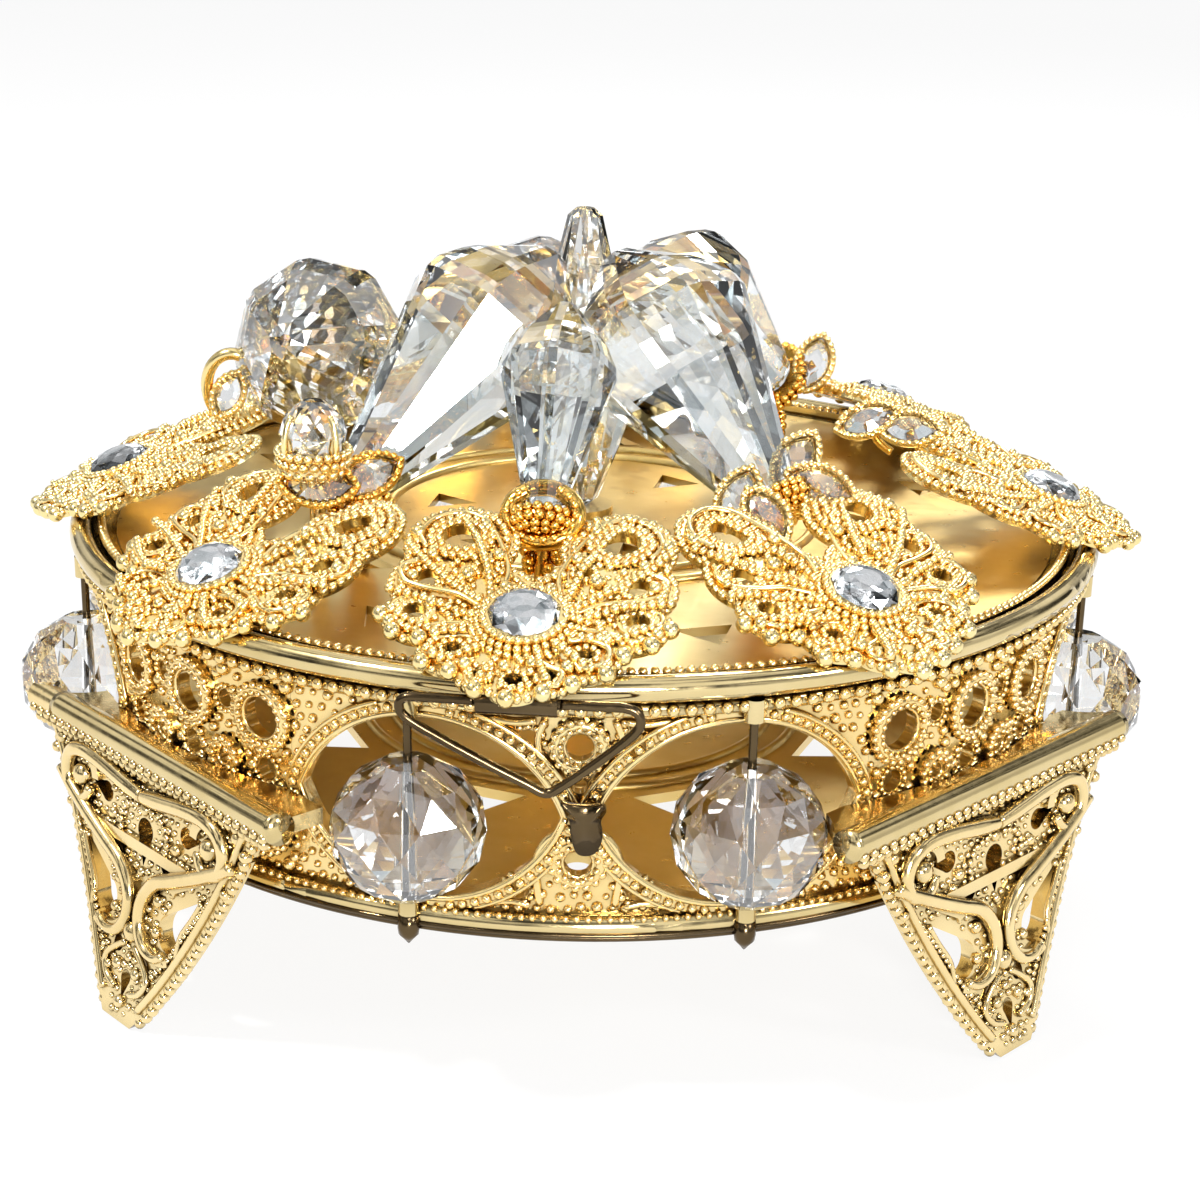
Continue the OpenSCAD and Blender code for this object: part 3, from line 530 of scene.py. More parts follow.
def on_panel(p, d, margin):
    """Test for points of the window on side d that lie on the wall, on their side of the crossing."""
    reach = WALL_R * math.sin(math.radians(WIN_ANG))
    return (p[:, 1] > WALL_Z + margin) & (p[:, 1] < WALL_TOP - margin) & (p[:, 0] * d > -reach - 0.1)


def off_windows(clear):
    """Test that also keeps points off both pointed windows and their bands."""
    w, h = WIN_W + 4.6, WIN_H + 3.7
    rr = (w * w + h * h) / (4 * h)

    def keep(p):
        ok = clear(p)
        for d in (-1, 1):
            x, z = (p - [d * WIN_ANG * ARC, WALL_MID]).T
            ok &= ~((np.hypot(x, z - rr + h / 2) < rr) & (np.hypot(x, z + rr - h / 2) < rr))
        return ok
    return keep


def wall_granules(shape, surf, width, gap, keep, sizes):
    """Granules over a stretch of wall."""
    pts = granules_fill(width, WALL_Z + 0.6, WALL_TOP - 0.5, gap, keep)
    domes_on(shape, surf, pts, 0.0, rng.uniform(*sizes, len(pts)))


# wires beside a crossing: above it, below it, and along both edges of the wall
WALL_WIRES = [[(3.5, WALL_TOP - 0.6), (4.2, WALL_TOP - 3.0), (3.3, WALL_TOP - 5.8), (1.4, WALL_TOP - 7.4)],
              [(1.4, WALL_Z + 9.6), (3.3, WALL_Z + 8.0), (4.3, WALL_Z + 5.4), (3.8, WALL_Z + 1.0)],
              [(4.4, WALL_TOP - 0.7), (6.6, WALL_TOP - 1.0), (9.0, WALL_TOP - 0.7)],
              [(4.8, WALL_Z + 0.8), (6.8, WALL_Z + 1.2), (9.4, WALL_Z + 0.7)]]
RING_TOP, RING_LOW = WALL_TOP - 0.4 - 2.9, WALL_Z + 3 + 2.9
for k, side in enumerate(["front", "right", "back", "left"]):
    s = Shape()
    for d in (-1, 1):
        surf = wall_surface(90 * k + d * WIN_ANG, along=False)
        for grow, r in ((0.30, 0.36), (1.62, 0.30)):
            line = even(vesica(WIN_W + 2.2 * grow, WIN_H + 2 * grow) + [0, WALL_MID], 0.6)
            ends = np.nonzero(np.diff(on_panel(line, d, 0.2).astype(int)))[0] + 1
            for run in np.split(line, ends):
                if len(run) > 3 and on_panel(run, d, 0.2)[1]:
                    wire_on(s, surf, run, r, RELIEF - 0.1, smooth=False)
        crest = even(vesica(WIN_W + 2.2, WIN_H + 2) + [0, WALL_MID], 1.32, True)
        domes_on(s, surf, crest[on_panel(crest, d, 0.3)], RELIEF, 0.54, FINE_DOME)
    surf = wall_surface(90 * k)
    for z in (RING_TOP, RING_LOW):
        rosette(s, surf, 0, z, 2.9, 1.2)
    holes = [(0, RING_TOP, 3.2), (0, RING_LOW, 3.2), (0, WALL_MID + 3.2, 0.9)]
    for d in (-1, 1):
        for x, z, r in ((d * 5.1 * ARC, RING_TOP + 0.2, 1.3), (d * 5.9 * ARC, WALL_Z + 2.6, 1.2)):
            beads_on(s, surf, circle(x, z, r + 0.4), 0.86, 0.40, 0.1, True)
            holes.append((x, z, r))
        lug = BEAD_ANG * ARC * d
        holes += [(lug, WALL_TOP - 0.5, 1.4), (lug, WALL_Z + 0.5, 1.4)]
    keep = off_windows(outside_of(holes, 0.55))
    wall_granules(s, surf, 2 * PANEL_HALF * ARC - 1.2, 1.55, keep, (0.36, 0.66))
    for m in (-1, 1):
        for line in WALL_WIRES:
            wire_on(s, surf, sided(line, m), 0.42, 0.25)
    piece(s, "wall_beading_" + side, GOLD, "casket_body")

RING_1, RING_2 = WALL_Z + 1.5 + 3.7, WALL_TOP - 1.2 - 3.7
RING_MID = (RING_1 + RING_2) / 2
for a, where in ((45, "front_right"), (135, "back_right"), (-135, "back_left"), (-45, "front_left")):
    s = Shape()
    surf = wall_surface(a)
    pitch = (CORNER_HALF - 3.6) * ARC
    holes = [(0, RING_MID, 1.3)]
    beads_on(s, surf, circle(0, RING_MID, 1.75), 0.72, 0.36, 0.1, True)
    for i in (-1, 0, 1):
        for z in (RING_1, RING_2):
            rosette(s, surf, i * pitch, z, 3.7, 1.2)
            holes.append((i * pitch, z, 4.0))
    for i in (-1, 1):
        x, far = i * pitch / 2, i * (pitch + 0.3 * ARC)
        rosette(s, surf, x, RING_MID, 2.2, 1.1)
        holes += [(x, RING_MID, 2.5), (x, RING_1 - 0.6, 1.0), (x, RING_2 + 0.6, 1.0), (far, RING_MID, 1.2)]
        for z in (RING_1 - 0.6, RING_2 + 0.6):
            beads_on(s, surf, circle(x, z, 1.4), 0.66, 0.32, 0.1, True)
        beads_on(s, surf, circle(far, RING_MID, 1.6), 0.7, 0.34, 0.1, True)
        for z in (WALL_Z + 1.0, WALL_TOP - 0.9):
            studs = [(x, z), (i * (pitch + 3.2), z)]
            domes_on(s, surf, studs, 0.1, 0.85, FINE_DOME)
            holes += [(x, z, 0.6) for x, z in studs]
    wall_granules(s, surf, 2 * CORNER_HALF * ARC - 0.9, 1.5, outside_of(holes, 0.5), (0.38, 0.72))
    piece(s, "corner_beading_" + where, GOLD, "casket_body")

# ---- rims: beads, dark lugs and rings of painted shade under the rim, and the lid ring's beads
s = Shape()
n = round_the_axis(208)
n = n[np.abs(n[:, 0]) + 6 * (n[:, 1] < 0) > 0.13]   # none where the hinge is
spheres(s, n * (RIM_OR + 0.15) + [0, 0, WALL_TOP + 1.05], 0.70)
n = round_the_axis(330)
domes(s, n * (RIM_OR - 0.5) + [0, 0, WALL_Z - 0.15], unit(n + [0, 0, 0.8]), 0.36)
piece(s, "rim_beading", GOLD, "casket_body")

# painted shade: dark sleeves over the lugs and dark rings round the rim's lower edge stand in for the shade
# under the rim
s = Shape()
for k in range(4):
    for d in (-1, 1):
        a = math.radians(90 * k + d * BEAD_ANG)
        at = np.array([BEAD_CR * math.sin(a), -BEAD_CR * math.cos(a), 0])
        lug = [at + [0, 0, z] for z in (19.9, 18.3, 17.6, 17.1, 16.5)]
        tube(s, lug, [1.10, 1.16, 1.05, 0.6, 0.1], sides=14)
n = round_the_axis(200)
for r, z, thick in ((RIM_OR - 0.62, BASE_Z + 0.12, 0.40), (RIM_OR - 0.1, BASE_Z + 0.62, 0.26)):
    tube(s, n * r + [0, 0, z], thick, closed=True)
piece(s, "rim_lugs_and_painted_shade", BRONZE, "casket_body")

s = Shape()
n = round_the_axis(300)
domes(s, n * (RING_R - ROLL_R - 0.95) + [0, 0, LID_Z + 2.3], np.tile([0, 0, 1.0], (300, 1)), 0.52, FINE_DOME)
piece(s, "lid_ring_beading", GOLD, "lid")


# ---- feet: scrolled leaves with beaded edges, under a half-round lip
def leaf_half(y):
    """Half the leaf's width at height y."""
    return TIP_HALF + (LIP_HALF - 2.2 - TIP_HALF) * (np.asarray(y) / LIP_Z) ** 0.84


def bead_gap(x, y, skew):
    """Distance from a point in the foot's frame to the middle of the nearer bead beside it."""
    gaps = []
    for angle in (BEAD_ANG - 45 - skew, 45 - BEAD_ANG - skew):
        g = math.radians(angle)
        gaps.append(np.hypot(x - BEAD_CR * math.sin(g), y + BEAD_CR * math.cos(g)))
    return min(gaps)


# holes of the right half with their mirror images, then those in the middle: (x, y, radius)
LEAF_HOLES = [(6.4, 11.8, 2.1), (8.2, 14.2, 1.5), (9.8, 16.0, 1.0), (8.0, 23.2, 1.2), (10.0, 23.5, 0.7),
              (4.3, 18.8, 1.0), (17.6, 24.4, 0.9), (2.6, 7.6, 0.9)]
LEAF_HOLES = LEAF_HOLES + [(-x, y, r) for x, y, r in LEAF_HOLES]
LEAF_HOLES += [(0, 21.2, 1.5), (0, 18.9, 0.8), (0, 14.5, 1.1), (0, 4.6, 0.9), (0, 3.4, 0.5)]
# how near the lip's beads and its moulding may come to the middle of a crystal bead
BEADS_CLEAR, ROLL_CLEAR = 9.1, 8.45
# the two thick scrolls of the right half, with their radius and its shares from end to end
SCROLLS = [([(0, 25.3), (4, 25.9), (8.4, 26.6), (12.2, 26.8), (14.8, 25.9), (15.8, 23.8), (15.0, 21.8),
             (13.2, 20.9), (11.6, 21.5), (10.9, 22.8)], 0.98, [0.8, 1, 1, 1, 1, 1, 0.9, 0.8, 0.7, 0.6]),
           ([(17.3, 23.2), (14.4, 21.6), (10.4, 19.6), (6.8, 18.0), (3.6, 16.6), (1.5, 14.2), (1.2, 11.4),
             (2.6, 9.2), (4.9, 8.6), (6.6, 9.4)], 0.95, [0.7, 0.9, 1, 1, 1, 1, 0.9, 0.8, 0.7, 0.5])]
BEAD_ROWS = [([(1.6, 23.9), (3.4, 23.4), (4.6, 21.9), (4.5, 20.3)], 0.42),
             ([(13.6, 18.3), (9.9, 13.4), (7.5, 9.6), (5.0, 6.6)], 0.40)]
SIDE_STUDS = [(12.9, 23.7, 1.45), (6.4, 21.3, 0.75), (7.4, 20.0, 0.6), (17.6, 26.6, 0.8), (18.9, 25.0, 0.7),
              (15.6, 19.6, 0.55), (3.9, 14.6, 0.8), (4.2, 11.2, 0.7), (1.9, 5.6, 0.75), (3.6, 4.9, 0.6),
              (1.4, 8.9, 0.6)]
MID_STUDS = [(0, 9.8, 1.3), (0, 23.7, 0.7), (0, 16.6, 0.6), (0, 2.0, 0.8), (0, 6.9, 0.6)]
LEAF_YS = np.linspace(1.0, LIP_Z - 2.4, 90)
BELOW = math.radians(32)
LIP_OUT = np.array([0, -math.cos(BELOW), -math.sin(BELOW)])

for where, quarter, skew in FEET:
    a = quarter + skew
    s = Shape()
    surf = leaf_surface(a)
    for m in (-1, 1):
        edge = even(np.stack([m * (leaf_half(LEAF_YS) - 0.15), LEAF_YS], 1), 1.28)
        spheres_on(s, surf, edge, -0.55, rng.uniform(0.66, 0.76, len(edge)), 9)
        inner = np.stack([m * (leaf_half(LEAF_YS) - 1.35), LEAF_YS], 1)
        wire_on(s, surf, inner[4:-2], 0.50, 0.05, smooth=False)
        for line, r, taper in SCROLLS:
            wire_on(s, surf, sided(line, m), r, 0.45, taper=taper, sides=12)
        for line, r in BEAD_ROWS:
            beads_on(s, surf, curve(sided(line, m), 0.3), 0.84, r, 0.2)
        wire_on(s, surf, sided([(8.6, 10.0), (8.9, 12.4), (10.6, 15.0), (12.0, 17.3)], m), 0.36, 0.2)
        for x, y, r in SIDE_STUDS:
            domes_on(s, surf, [(m * x, y)], 0.0, r, FINE_DOME)
        wire_on(s, surf, sided([(0.9, 8.4), (3.0, 7.0), (4.2, 5.6), (3.4, 4.0), (1.4, 3.2)], m), 0.42, 0.2)
    for x, y, r in MID_STUDS:
        domes_on(s, surf, [(x, y)], 0.0, r, FINE_DOME)
    near = outside_of(LEAF_HOLES, 0.4)
    pts = granules_fill(44, 1.0, 27.4, 1.15, lambda p: near(p) & (np.abs(p[:, 0]) < leaf_half(p[:, 1]) - 1.9))
    domes_on(s, surf, pts, -0.05, rng.uniform(0.30, 0.52, len(pts)), GRAIN)
    lip = np.stack([np.linspace(-LIP_HALF + 1.6, LIP_HALF - 1.6, 40), np.full(40, LIP_Z - 2.9)], 1)
    beads_on(s, surf, lip, 1.22, 0.64, 0.15, template=FINE_DOME)
    # beads under the lip, left out where a crystal bead is close
    row = np.array([(x, ROLL_Y, ROLL_Z) for x in np.linspace(-LIP_HALF + 1.0, LIP_HALF - 1.0, 31)])
    row = row + LIP_ROLL * LIP_OUT
    row = row[[bead_gap(x, y, skew) > BEADS_CLEAR for x, y, z in row]]
    domes(s, row @ turned(a).T, np.tile(turned(a) @ LIP_OUT, (len(row), 1)), 0.58, FINE_DOME)
    piece(s, "foot_filigree_" + where, FOOT_GOLD, "casket_body")
    s = Shape()
    roll = np.array([(x, ROLL_Y, ROLL_Z) for x in np.linspace(-LIP_HALF - 0.02, LIP_HALF + 0.02, 60)
                     if bead_gap(x, ROLL_Y + LIP_ROLL, skew) > ROLL_CLEAR])
    tube(s, roll @ turned(a).T, LIP_ROLL + 0.04, sides=24)
    piece(s, "foot_moulding_" + where, RING_GOLD, "casket_body")

# ---- bows: granules, wires and balls laid over the plate
# lobes and holes of the right half with their mirror images, then those in the middle: (x, y, radius)
LOBES = [(8.2, 12.6, 5.8), (9.6, 6.2, 4.99), (10.2, 0.8, 4.1), (4.6, 4.0, 5.2), (6.4, -4.2, 3.6),
         (3.2, -7.4, 2.7)]
LOBES = LOBES + [(-x, y, r) for x, y, r in LOBES] + [(0, -2.4, 7.4), (0, -8.0, 3.2)]
HOLES = [(8.3, 13.2, 2.1), (12.3, 9.6, 0.8), (5.0, 8.4, 0.9), (10.6, 6.4, 1.4), (8.6, 5.5, 0.7),
         (11.2, 0.9, 1.2), (7.4, 1.6, 0.8), (6.6, -4.4, 0.9), (3.3, -7.8, 0.8)]
HOLES = HOLES + [(-x, y, r) for x, y, r in HOLES] + [(0, -8.6, 0.9)]
BOW_WIRES = [[(3.0, 4.2), (2.6, 7.4), (3.4, 10.6), (4.6, 13.4), (6.2, 16.2), (8.8, 17.3), (11.6, 15.9),
              (12.6, 13.2), (11.6, 11.0)],
             [(4.6, 1.6), (7.2, 3.4), (10.4, 4.1), (13.0, 5.2), (13.6, 7.4), (12.0, 8.6)],
             [(5.2, -0.6), (8.2, -0.9), (11.0, -1.9), (13.2, -0.6), (13.6, 1.8), (12.2, 3.2)],
             [(4.6, -2.8), (6.4, -2.4), (8.6, -3.4), (8.8, -5.6), (6.6, -6.6), (5.0, -5.4)],
             [(2.2, -4.8), (2.6, -6.4), (4.6, -7.4), (4.4, -9.2), (2.8, -9.4)]]
ROPES = [[(3.9, 3.6), (4.6, 7.0), (5.6, 10.2), (7.0, 13.6), (8.8, 16.8)],
         [(5.0, 2.4), (8.0, 5.0), (10.8, 7.9), (13.6, 11.6)],
         [(5.4, 0.4), (8.8, 2.0), (12.2, 3.2), (14.2, 3.6)],
         [(5.0, -2.0), (7.8, -2.4), (10.8, -1.4), (13.4, 0.2)],
         [(3.6, -3.8), (5.6, -5.6), (7.4, -6.6), (8.9, -5.6)], [(1.9, -4.9), (2.6, -7.4), (3.6, -9.6)]]
BALLS = [(6.6, 6.9, 0.85), (12.9, 13.4, 0.8), (10.9, 9.7, 0.7), (12.6, 6.6, 0.75), (9.4, 2.6, 0.7),
         (4.0, 10.6, 0.8), (8.6, -2.4, 0.7), (4.9, -6.9, 0.75), (1.2, -6.6, 0.7), (5.9, 15.2, 0.75),
         (13.5, -0.9, 0.7), (2.2, 5.2, 0.8)]
WIRE_POINTS = np.concatenate([curve(sided(w, m), 0.4) for w in BOW_WIRES + ROPES for m in (-1, 1)])


def lobe_row(inset, pitch):
    """Points along the outline of the bow, moved in by inset."""
    out = []
    for x, y, r in LOBES:
        rr = r - inset
        c = circle(x, y, rr, max(int(2 * math.pi * rr / pitch), 6), 0.3)
        others = [(x2, y2, r2 - inset) for x2, y2, r2 in LOBES if (x2, y2, r2) != (x, y, r)]
        out.append(c[outside_of(others, -0.02)(c)])
    return np.concatenate(out)


def thin_out(p, gap, kept=()):
    """Drops points closer than gap to one already kept."""
    kept = list(kept)
    first = len(kept)
    for q in p:
        k = np.array(kept) if kept else np.full((1, 2), 1e3)
        if np.min(np.sum((k - q) ** 2, axis=1)) > gap * gap:
            kept.append(q)
    return np.array(kept[first:])


def inside_bow(p, inset):
    """Test for points inside the outline moved in by inset."""
    return ~outside_of(LOBES, -inset)(p)


def clear_of_holes(p, gap):
    """The points further than gap from every hole and from the stone's setting."""
    return p[outside_of(HOLES + [(0, 0, STONE_R + 0.9)], gap)(p)]


def off_wires(p, gap):
    """The points further than gap from every wire and rope."""
    return p[np.min(np.hypot(*(p[:, None] - WIRE_POINTS[None]).transpose(2, 0, 1)), axis=1) > gap]


EDGE = thin_out(lobe_row(0.1, 1.0), 0.86)
ROWS = thin_out(lobe_row(1.15, 0.95), 0.84)
FILL = granules_fill(32, -12, 19, 1.0, lambda p: inside_bow(p, 1.7))
ROWS = clear_of_holes(ROWS, 0.35)
BED = thin_out(off_wires(clear_of_holes(FILL, 0.45), 0.62), 0.9, ROWS)
LOW_EDGE = EDGE[EDGE[:, 1] < 1.0]
FRINGE = thin_out(LOW_EDGE[np.argsort(np.arctan2(LOW_EDGE[:, 0], -LOW_EDGE[:, 1]))], 2.7)
TOP = BOW_T / 2
for name, angle, inset in BOWS:
    s = Shape()
    surf = bow_surface(angle, inset)
    wave = rng.uniform(0, 6.28, 4)

    def swell(p):
        """Uneven height of the hand-laid granules."""
        return 0.3 * np.sin(0.5 * p[:, 0] + wave[0]) * np.cos(0.45 * p[:, 1] + wave[1]) \
            + 0.16 * np.sin(1.3 * p[:, 0] + 0.9 * p[:, 1] + wave[2])
    spheres_on(s, surf, EDGE, 0.2 + 0.15 * rng.random(len(EDGE)), rng.uniform(0.46, 0.58, len(EDGE)), 7, 5)
    domes_on(s, surf, ROWS, TOP + 0.2 + swell(ROWS), rng.uniform(0.42, 0.52, len(ROWS)))
    lift = TOP + swell(BED) + 0.3 * rng.random(len(BED))
    domes_on(s, surf, BED, lift, rng.uniform(0.34, 0.56, len(BED)), GRAIN)
    for x, y, r in HOLES:
        if r > 2:
            beads_on(s, surf, circle(x, y, 2.4, start=x), 0.94, 0.46, TOP + 0.45, True)
            beads_on(s, surf, circle(x, y, 3.25, start=x), 0.94, 0.46, TOP + 0.4, True)
        else:
            beads_on(s, surf, circle(x, y, r + 0.3, start=x), 0.84, 0.40, TOP + 0.2, True)
    for m in (-1, 1):
        for w in BOW_WIRES:
            line = curve(sided(w, m), 0.2)
            wire_on(s, surf, line, 0.34, TOP + 0.3 + swell(line[:1])[0], smooth=False, sides=6)
        for w in ROPES:
            line = even(curve(sided(w, m), 0.2), 0.92)
            domes_on(s, surf, line, TOP + 0.65 + swell(line), rng.uniform(0.42, 0.56, len(line)))
        for x, y, r in BALLS:
            at = (x * m + rng.uniform(-0.4, 0.4), y + rng.uniform(-0.4, 0.4))
            spheres_on(s, surf, [at], TOP + 0.35, r)
    fringe = FRINGE + 0.35 * unit(FRINGE - [0, -1.0])
    spheres_on(s, surf, fringe, 0.7 if name == "front" else 0.1, 0.95, 12, 7)
    # granulated setting round the stone
    beads_on(s, surf, circle(0, 0, STONE_R + 0.65), 0.88, 0.44, TOP + 1.35, True)
    beads_on(s, surf, circle(0, 0, STONE_R + 1.25, start=0.1), 0.94, 0.48, TOP + 0.75, True)
    beads_on(s, surf, circle(0, 0, STONE_R + 1.8, start=0.2), 1.0, 0.48, TOP + 0.25, True)
    piece(s, "bow_granulation_" + name, BOW_GOLD, "lid")


# ---- round stones: a foiled back under a cut crown
def cut_rings(rings, n):
    """Faceted closed form from rings of (radius, height, turn in sides), flat ends."""
    verts = np.concatenate([level_ring(r, h, n, turn) for r, h, turn in rings]
                           + [[[0, 0, rings[0][1]], [0, 0, rings[-1][1]]]])
    end = n * len(rings)
    tris = [fan(end, np.arange(n)[::-1]), fan(end + 1, np.arange(end - n, end))]
    # each quad is cut in two along the way that its rings are turned
    for i in range(len(rings) - 1):
        a, b, d, c = (bands(2, n) + i * n).T
        cuts = [(a, b, c), (b, d, c)] if rings[i + 1][2] > rings[i][2] else [(a, b, d), (a, d, c)]
        tris += [np.stack(cut, 1) for cut in cuts]
    return verts, np.concatenate(tris)


def set_on(shape, surf, template, height):
    """A cut form set on the middle of a surface."""
    v, t = template
    base, n = surf(np.array([[0.0, 0.0]]), height)
    ax, ay = [(surf(np.array([step]), height)[0] - base)[0] for step in ((1.0, 0.0), (0.0, 1.0))]
    shape.add(base + v[:, :1] * ax + v[:, 1:2] * ay + v[:, 2:3] * n, tris=t)


crowns, foils = Shape(), Shape()
crown = cut_rings([(3.6, 0.0, 0), (3.74, 0.25, 0.5), (3.15, 0.95, 0), (2.3, 1.4, 0.5), (1.5, 1.55, 0)], 9)
foil = cut_rings([(0.3, -1.25, 0), (1.2, -0.75, 0.5), (1.9, -0.9, 0), (2.7, -0.3, 0.5), (3.5, -0.02, 0)], 9)
for name, angle, inset in BOWS:
    surf = bow_surface(angle, inset)
    set_on(crowns, surf, crown, TOP + 1.3)
    set_on(foils, surf, foil, TOP + 1.31)
stones = piece(crowns, "stone_crowns", STONE, "lid", smooth=False)
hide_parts("rhinestones")
piece(foils, "stone_foils", FOIL, "lid", smooth=False)


# ---- long crystals: a narrow facet is cut along every edge
def cut_along_edges(node, width):
    """Copy of a crystal node with each edge ground to a narrow facet."""
    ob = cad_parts[node]
    bm = bmesh.new()
    bm.from_mesh(ob.data)
    bm.transform(ob.matrix_world)
    bmesh.ops.remove_doubles(bm, verts=bm.verts, dist=1e-6)
    bmesh.ops.dissolve_limit(bm, angle_limit=math.radians(1), verts=bm.verts, edges=bm.edges)
    edges = [e for e in bm.edges if len(e.link_faces) == 2 and e.calc_face_angle() > math.radians(4)]
    bmesh.ops.bevel(bm, geom=edges, offset=width * MM, segments=1, affect="EDGES", clamp_overlap=True)
    me = bpy.data.meshes.new("cut_" + node)
    bm.to_mesh(me)
    bm.free()
    me.polygons.foreach_set("use_smooth", np.zeros(len(me.polygons), bool))
    me.materials.append(CRYSTAL)
    cut = bpy.data.objects.new("cut_" + node, me)
    bpy.context.scene.collection.objects.link(cut)
    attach(cut, "lid")
    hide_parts(node)


for node in [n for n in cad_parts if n.startswith("crystal_drop") or n == "crystal_finial"]:
    cut_along_edges(node, 0.9 if node != "crystal_drop_front" else 0.6)


# ---- glassy marquise loops, collars and wires by the drops' tips
def marquise(gold, glass, centre, along, normal, length, width):
    """Pointed glass in a beaded loop; along and normal are directions."""
    centre, n, u = np.asarray(centre, float), unit(normal), unit(along)
    u = unit(u - n * (u @ n))
    v = np.cross(n, u)

    def surf(p, h):
        p = np.asarray(p, float)
        return centre + p[:, :1] * u + p[:, 1:2] * v + np.reshape(h, (-1, 1)) * n, np.tile(n, (len(p), 1))
    rim = vesica(length, width)
    wire_on(gold, surf, rim, 0.42, 0.0, True, smooth=False, step=0.4)
    wire_on(gold, surf, rim * 0.8, 0.34, -0.35, True, smooth=False, step=0.4)
    beads_on(gold, surf, rim * 1.02, 0.86, 0.42, 0.3, True)
    # the glass: a straight girdle under a crown that slopes in to the table
    girdle = even(rim * 0.86, length / 5, True)
    k = len(girdle)
    layers = [surf(girdle * share, h)[0] for share, h in ((1, -0.3), (1, 0.15), (0.5, 0.95))]
    a, b, d, c = bands(3, k).T
    tris = [np.stack([a, b, d], 1), np.stack([a, d, c], 1)]
    for i in range(1, k - 1):
        tris.append([(0, i + 1, i), (2 * k, 2 * k + i, 2 * k + i + 1)])
    glass.add(np.concatenate(layers), tris=np.concatenate(tris))


def polar(row):
    """Point from radius, angle and height over the lid plate."""
    r, angle, z = row
    a = math.radians(angle)
    return np.array([r * math.sin(a), -r * math.cos(a), PLATE_TOP + z])


# centre, direction of the long axis, direction it faces, length and width
TO_FRONT, TO_BACK, TO_LEFT = (0, -0.75, 0.65), (0, -0.8, 0.5), (-0.2, -0.6, 0.8)
LOOPS = [((22.9, -25.4, 59.4), (0.5, 0.2, 0.8), TO_FRONT, 8.2, 4.6),
         ((25.6, -28.4, 57.6), (0.9, -0.2, -0.3), TO_FRONT, 8.0, 4.4),
         ((16.6, -31.0, 56.6), (0.3, 0.2, 0.9), TO_FRONT, 8.0, 4.6),
         ((19.4, -34.4, 56.0), (0.5, -0.6, -0.4), TO_FRONT, 7.0, 4.2),
         ((33.6, -1.6, 58.0), (1, 0.2, 0.1), (-0.3, -0.6, 0.8), 7.6, 4.6),
         ((38.4, -3.6, 57.6), (1, -0.3, 0), TO_LEFT, 7.6, 4.6),
         ((29.2, 21.6, 59.4), (0.3, 0.3, 0.9), TO_BACK, 8.0, 4.6),
         ((-33.2, 21.0, 60.2), (-0.5, 0.2, 0.7), TO_BACK, 8.0, 4.6),
         ((-12.8, 33.6, 59.2), (-0.6, 0, 0.7), (0, 0.8, 0.5), 7.6, 4.4)]
AMBER_LOOPS = [((-28.7, -31.6, 57.6), (1, 0.15, -0.2), TO_FRONT, 8.4, 5.0),
               ((-23.6, -29.6, 58.0), (1, 0.5, 0.3), TO_FRONT, 8.0, 4.8)]
FRONT_TIP = (-4.4, -38.4, 56.5)
TIPS = np.array([(-25.0, -22.8, 55.5), (20.6, -27.0, 55.0), FRONT_TIP, (24.0, 22.5, 57.5),
                 (-27.3, 23.9, 58.6), (-8.3, 31.1, 57.1)])
# drops: tip and thick end, each as radius, angle and height over the lid plate, then size
DROPS = [((RING_R - 26.3, -47.6, 10), (FIN_R - 0.5, -33.7, FIN_LEN - 3.5), 1.0),
         ((RING_R - 26.1, 37.3, 9.5), (FIN_R - 0.5, 22.7, FIN_LEN - 3.5), 1.0),
         ((RING_R - 21.5, -6.5, 11), (FIN_R + 13.8, -6.6, 30), 0.58),
         ((RING_R - 27.2, 133.2, 12), (FIN_R - 0.2, 137.4, FIN_LEN - 7), 0.94),
         ((RING_R - 23.8, -131.2, 13.1), (RING_R - 24.3, -80.5, 21.8), 1.0),
         ((RING_R - 27.9, -165, 11.6), (FIN_R + 2, -150, FIN_LEN - 7.5), 0.78)]
# granules heaped round each stem, then a collar's gap and thickness
HEAP = 46
COLLAR_GAP, COLLAR_WALL = 0.05, 0.9
# beads round a drop's tip: distance out from the collar, distance past the tip, radius
COLLAR = [(0.15, 0.25, 0.55), (0.15, 1.2, 0.58), (-0.55, 1.75, 0.56), (-1.5, 1.95, 0.58), (-2.45, 2.05, 0.56)]

gold, glass, amber = Shape(), Shape(), Shape()
for loop in LOOPS:
    marquise(gold, glass, *loop)
for loop in AMBER_LOOPS:
    marquise(amber, glass, *loop)
# wires that tie each loop to the nearest collar or bow
for c, _, n, _, _ in LOOPS + AMBER_LOOPS:
    c = np.array(c)
    tip = min(TIPS, key=lambda p: np.linalg.norm(p - c))
    if np.linalg.norm(tip - c) > 9:
        tip = c + [3.0, -1.2, -2.6]
    mid = (c + tip) / 2 + [0, 0, -1.2]
    tube(amber, curve([c - 0.4 * unit(n), mid, tip - [0, 0, 0.9]], 0.4), 0.55)
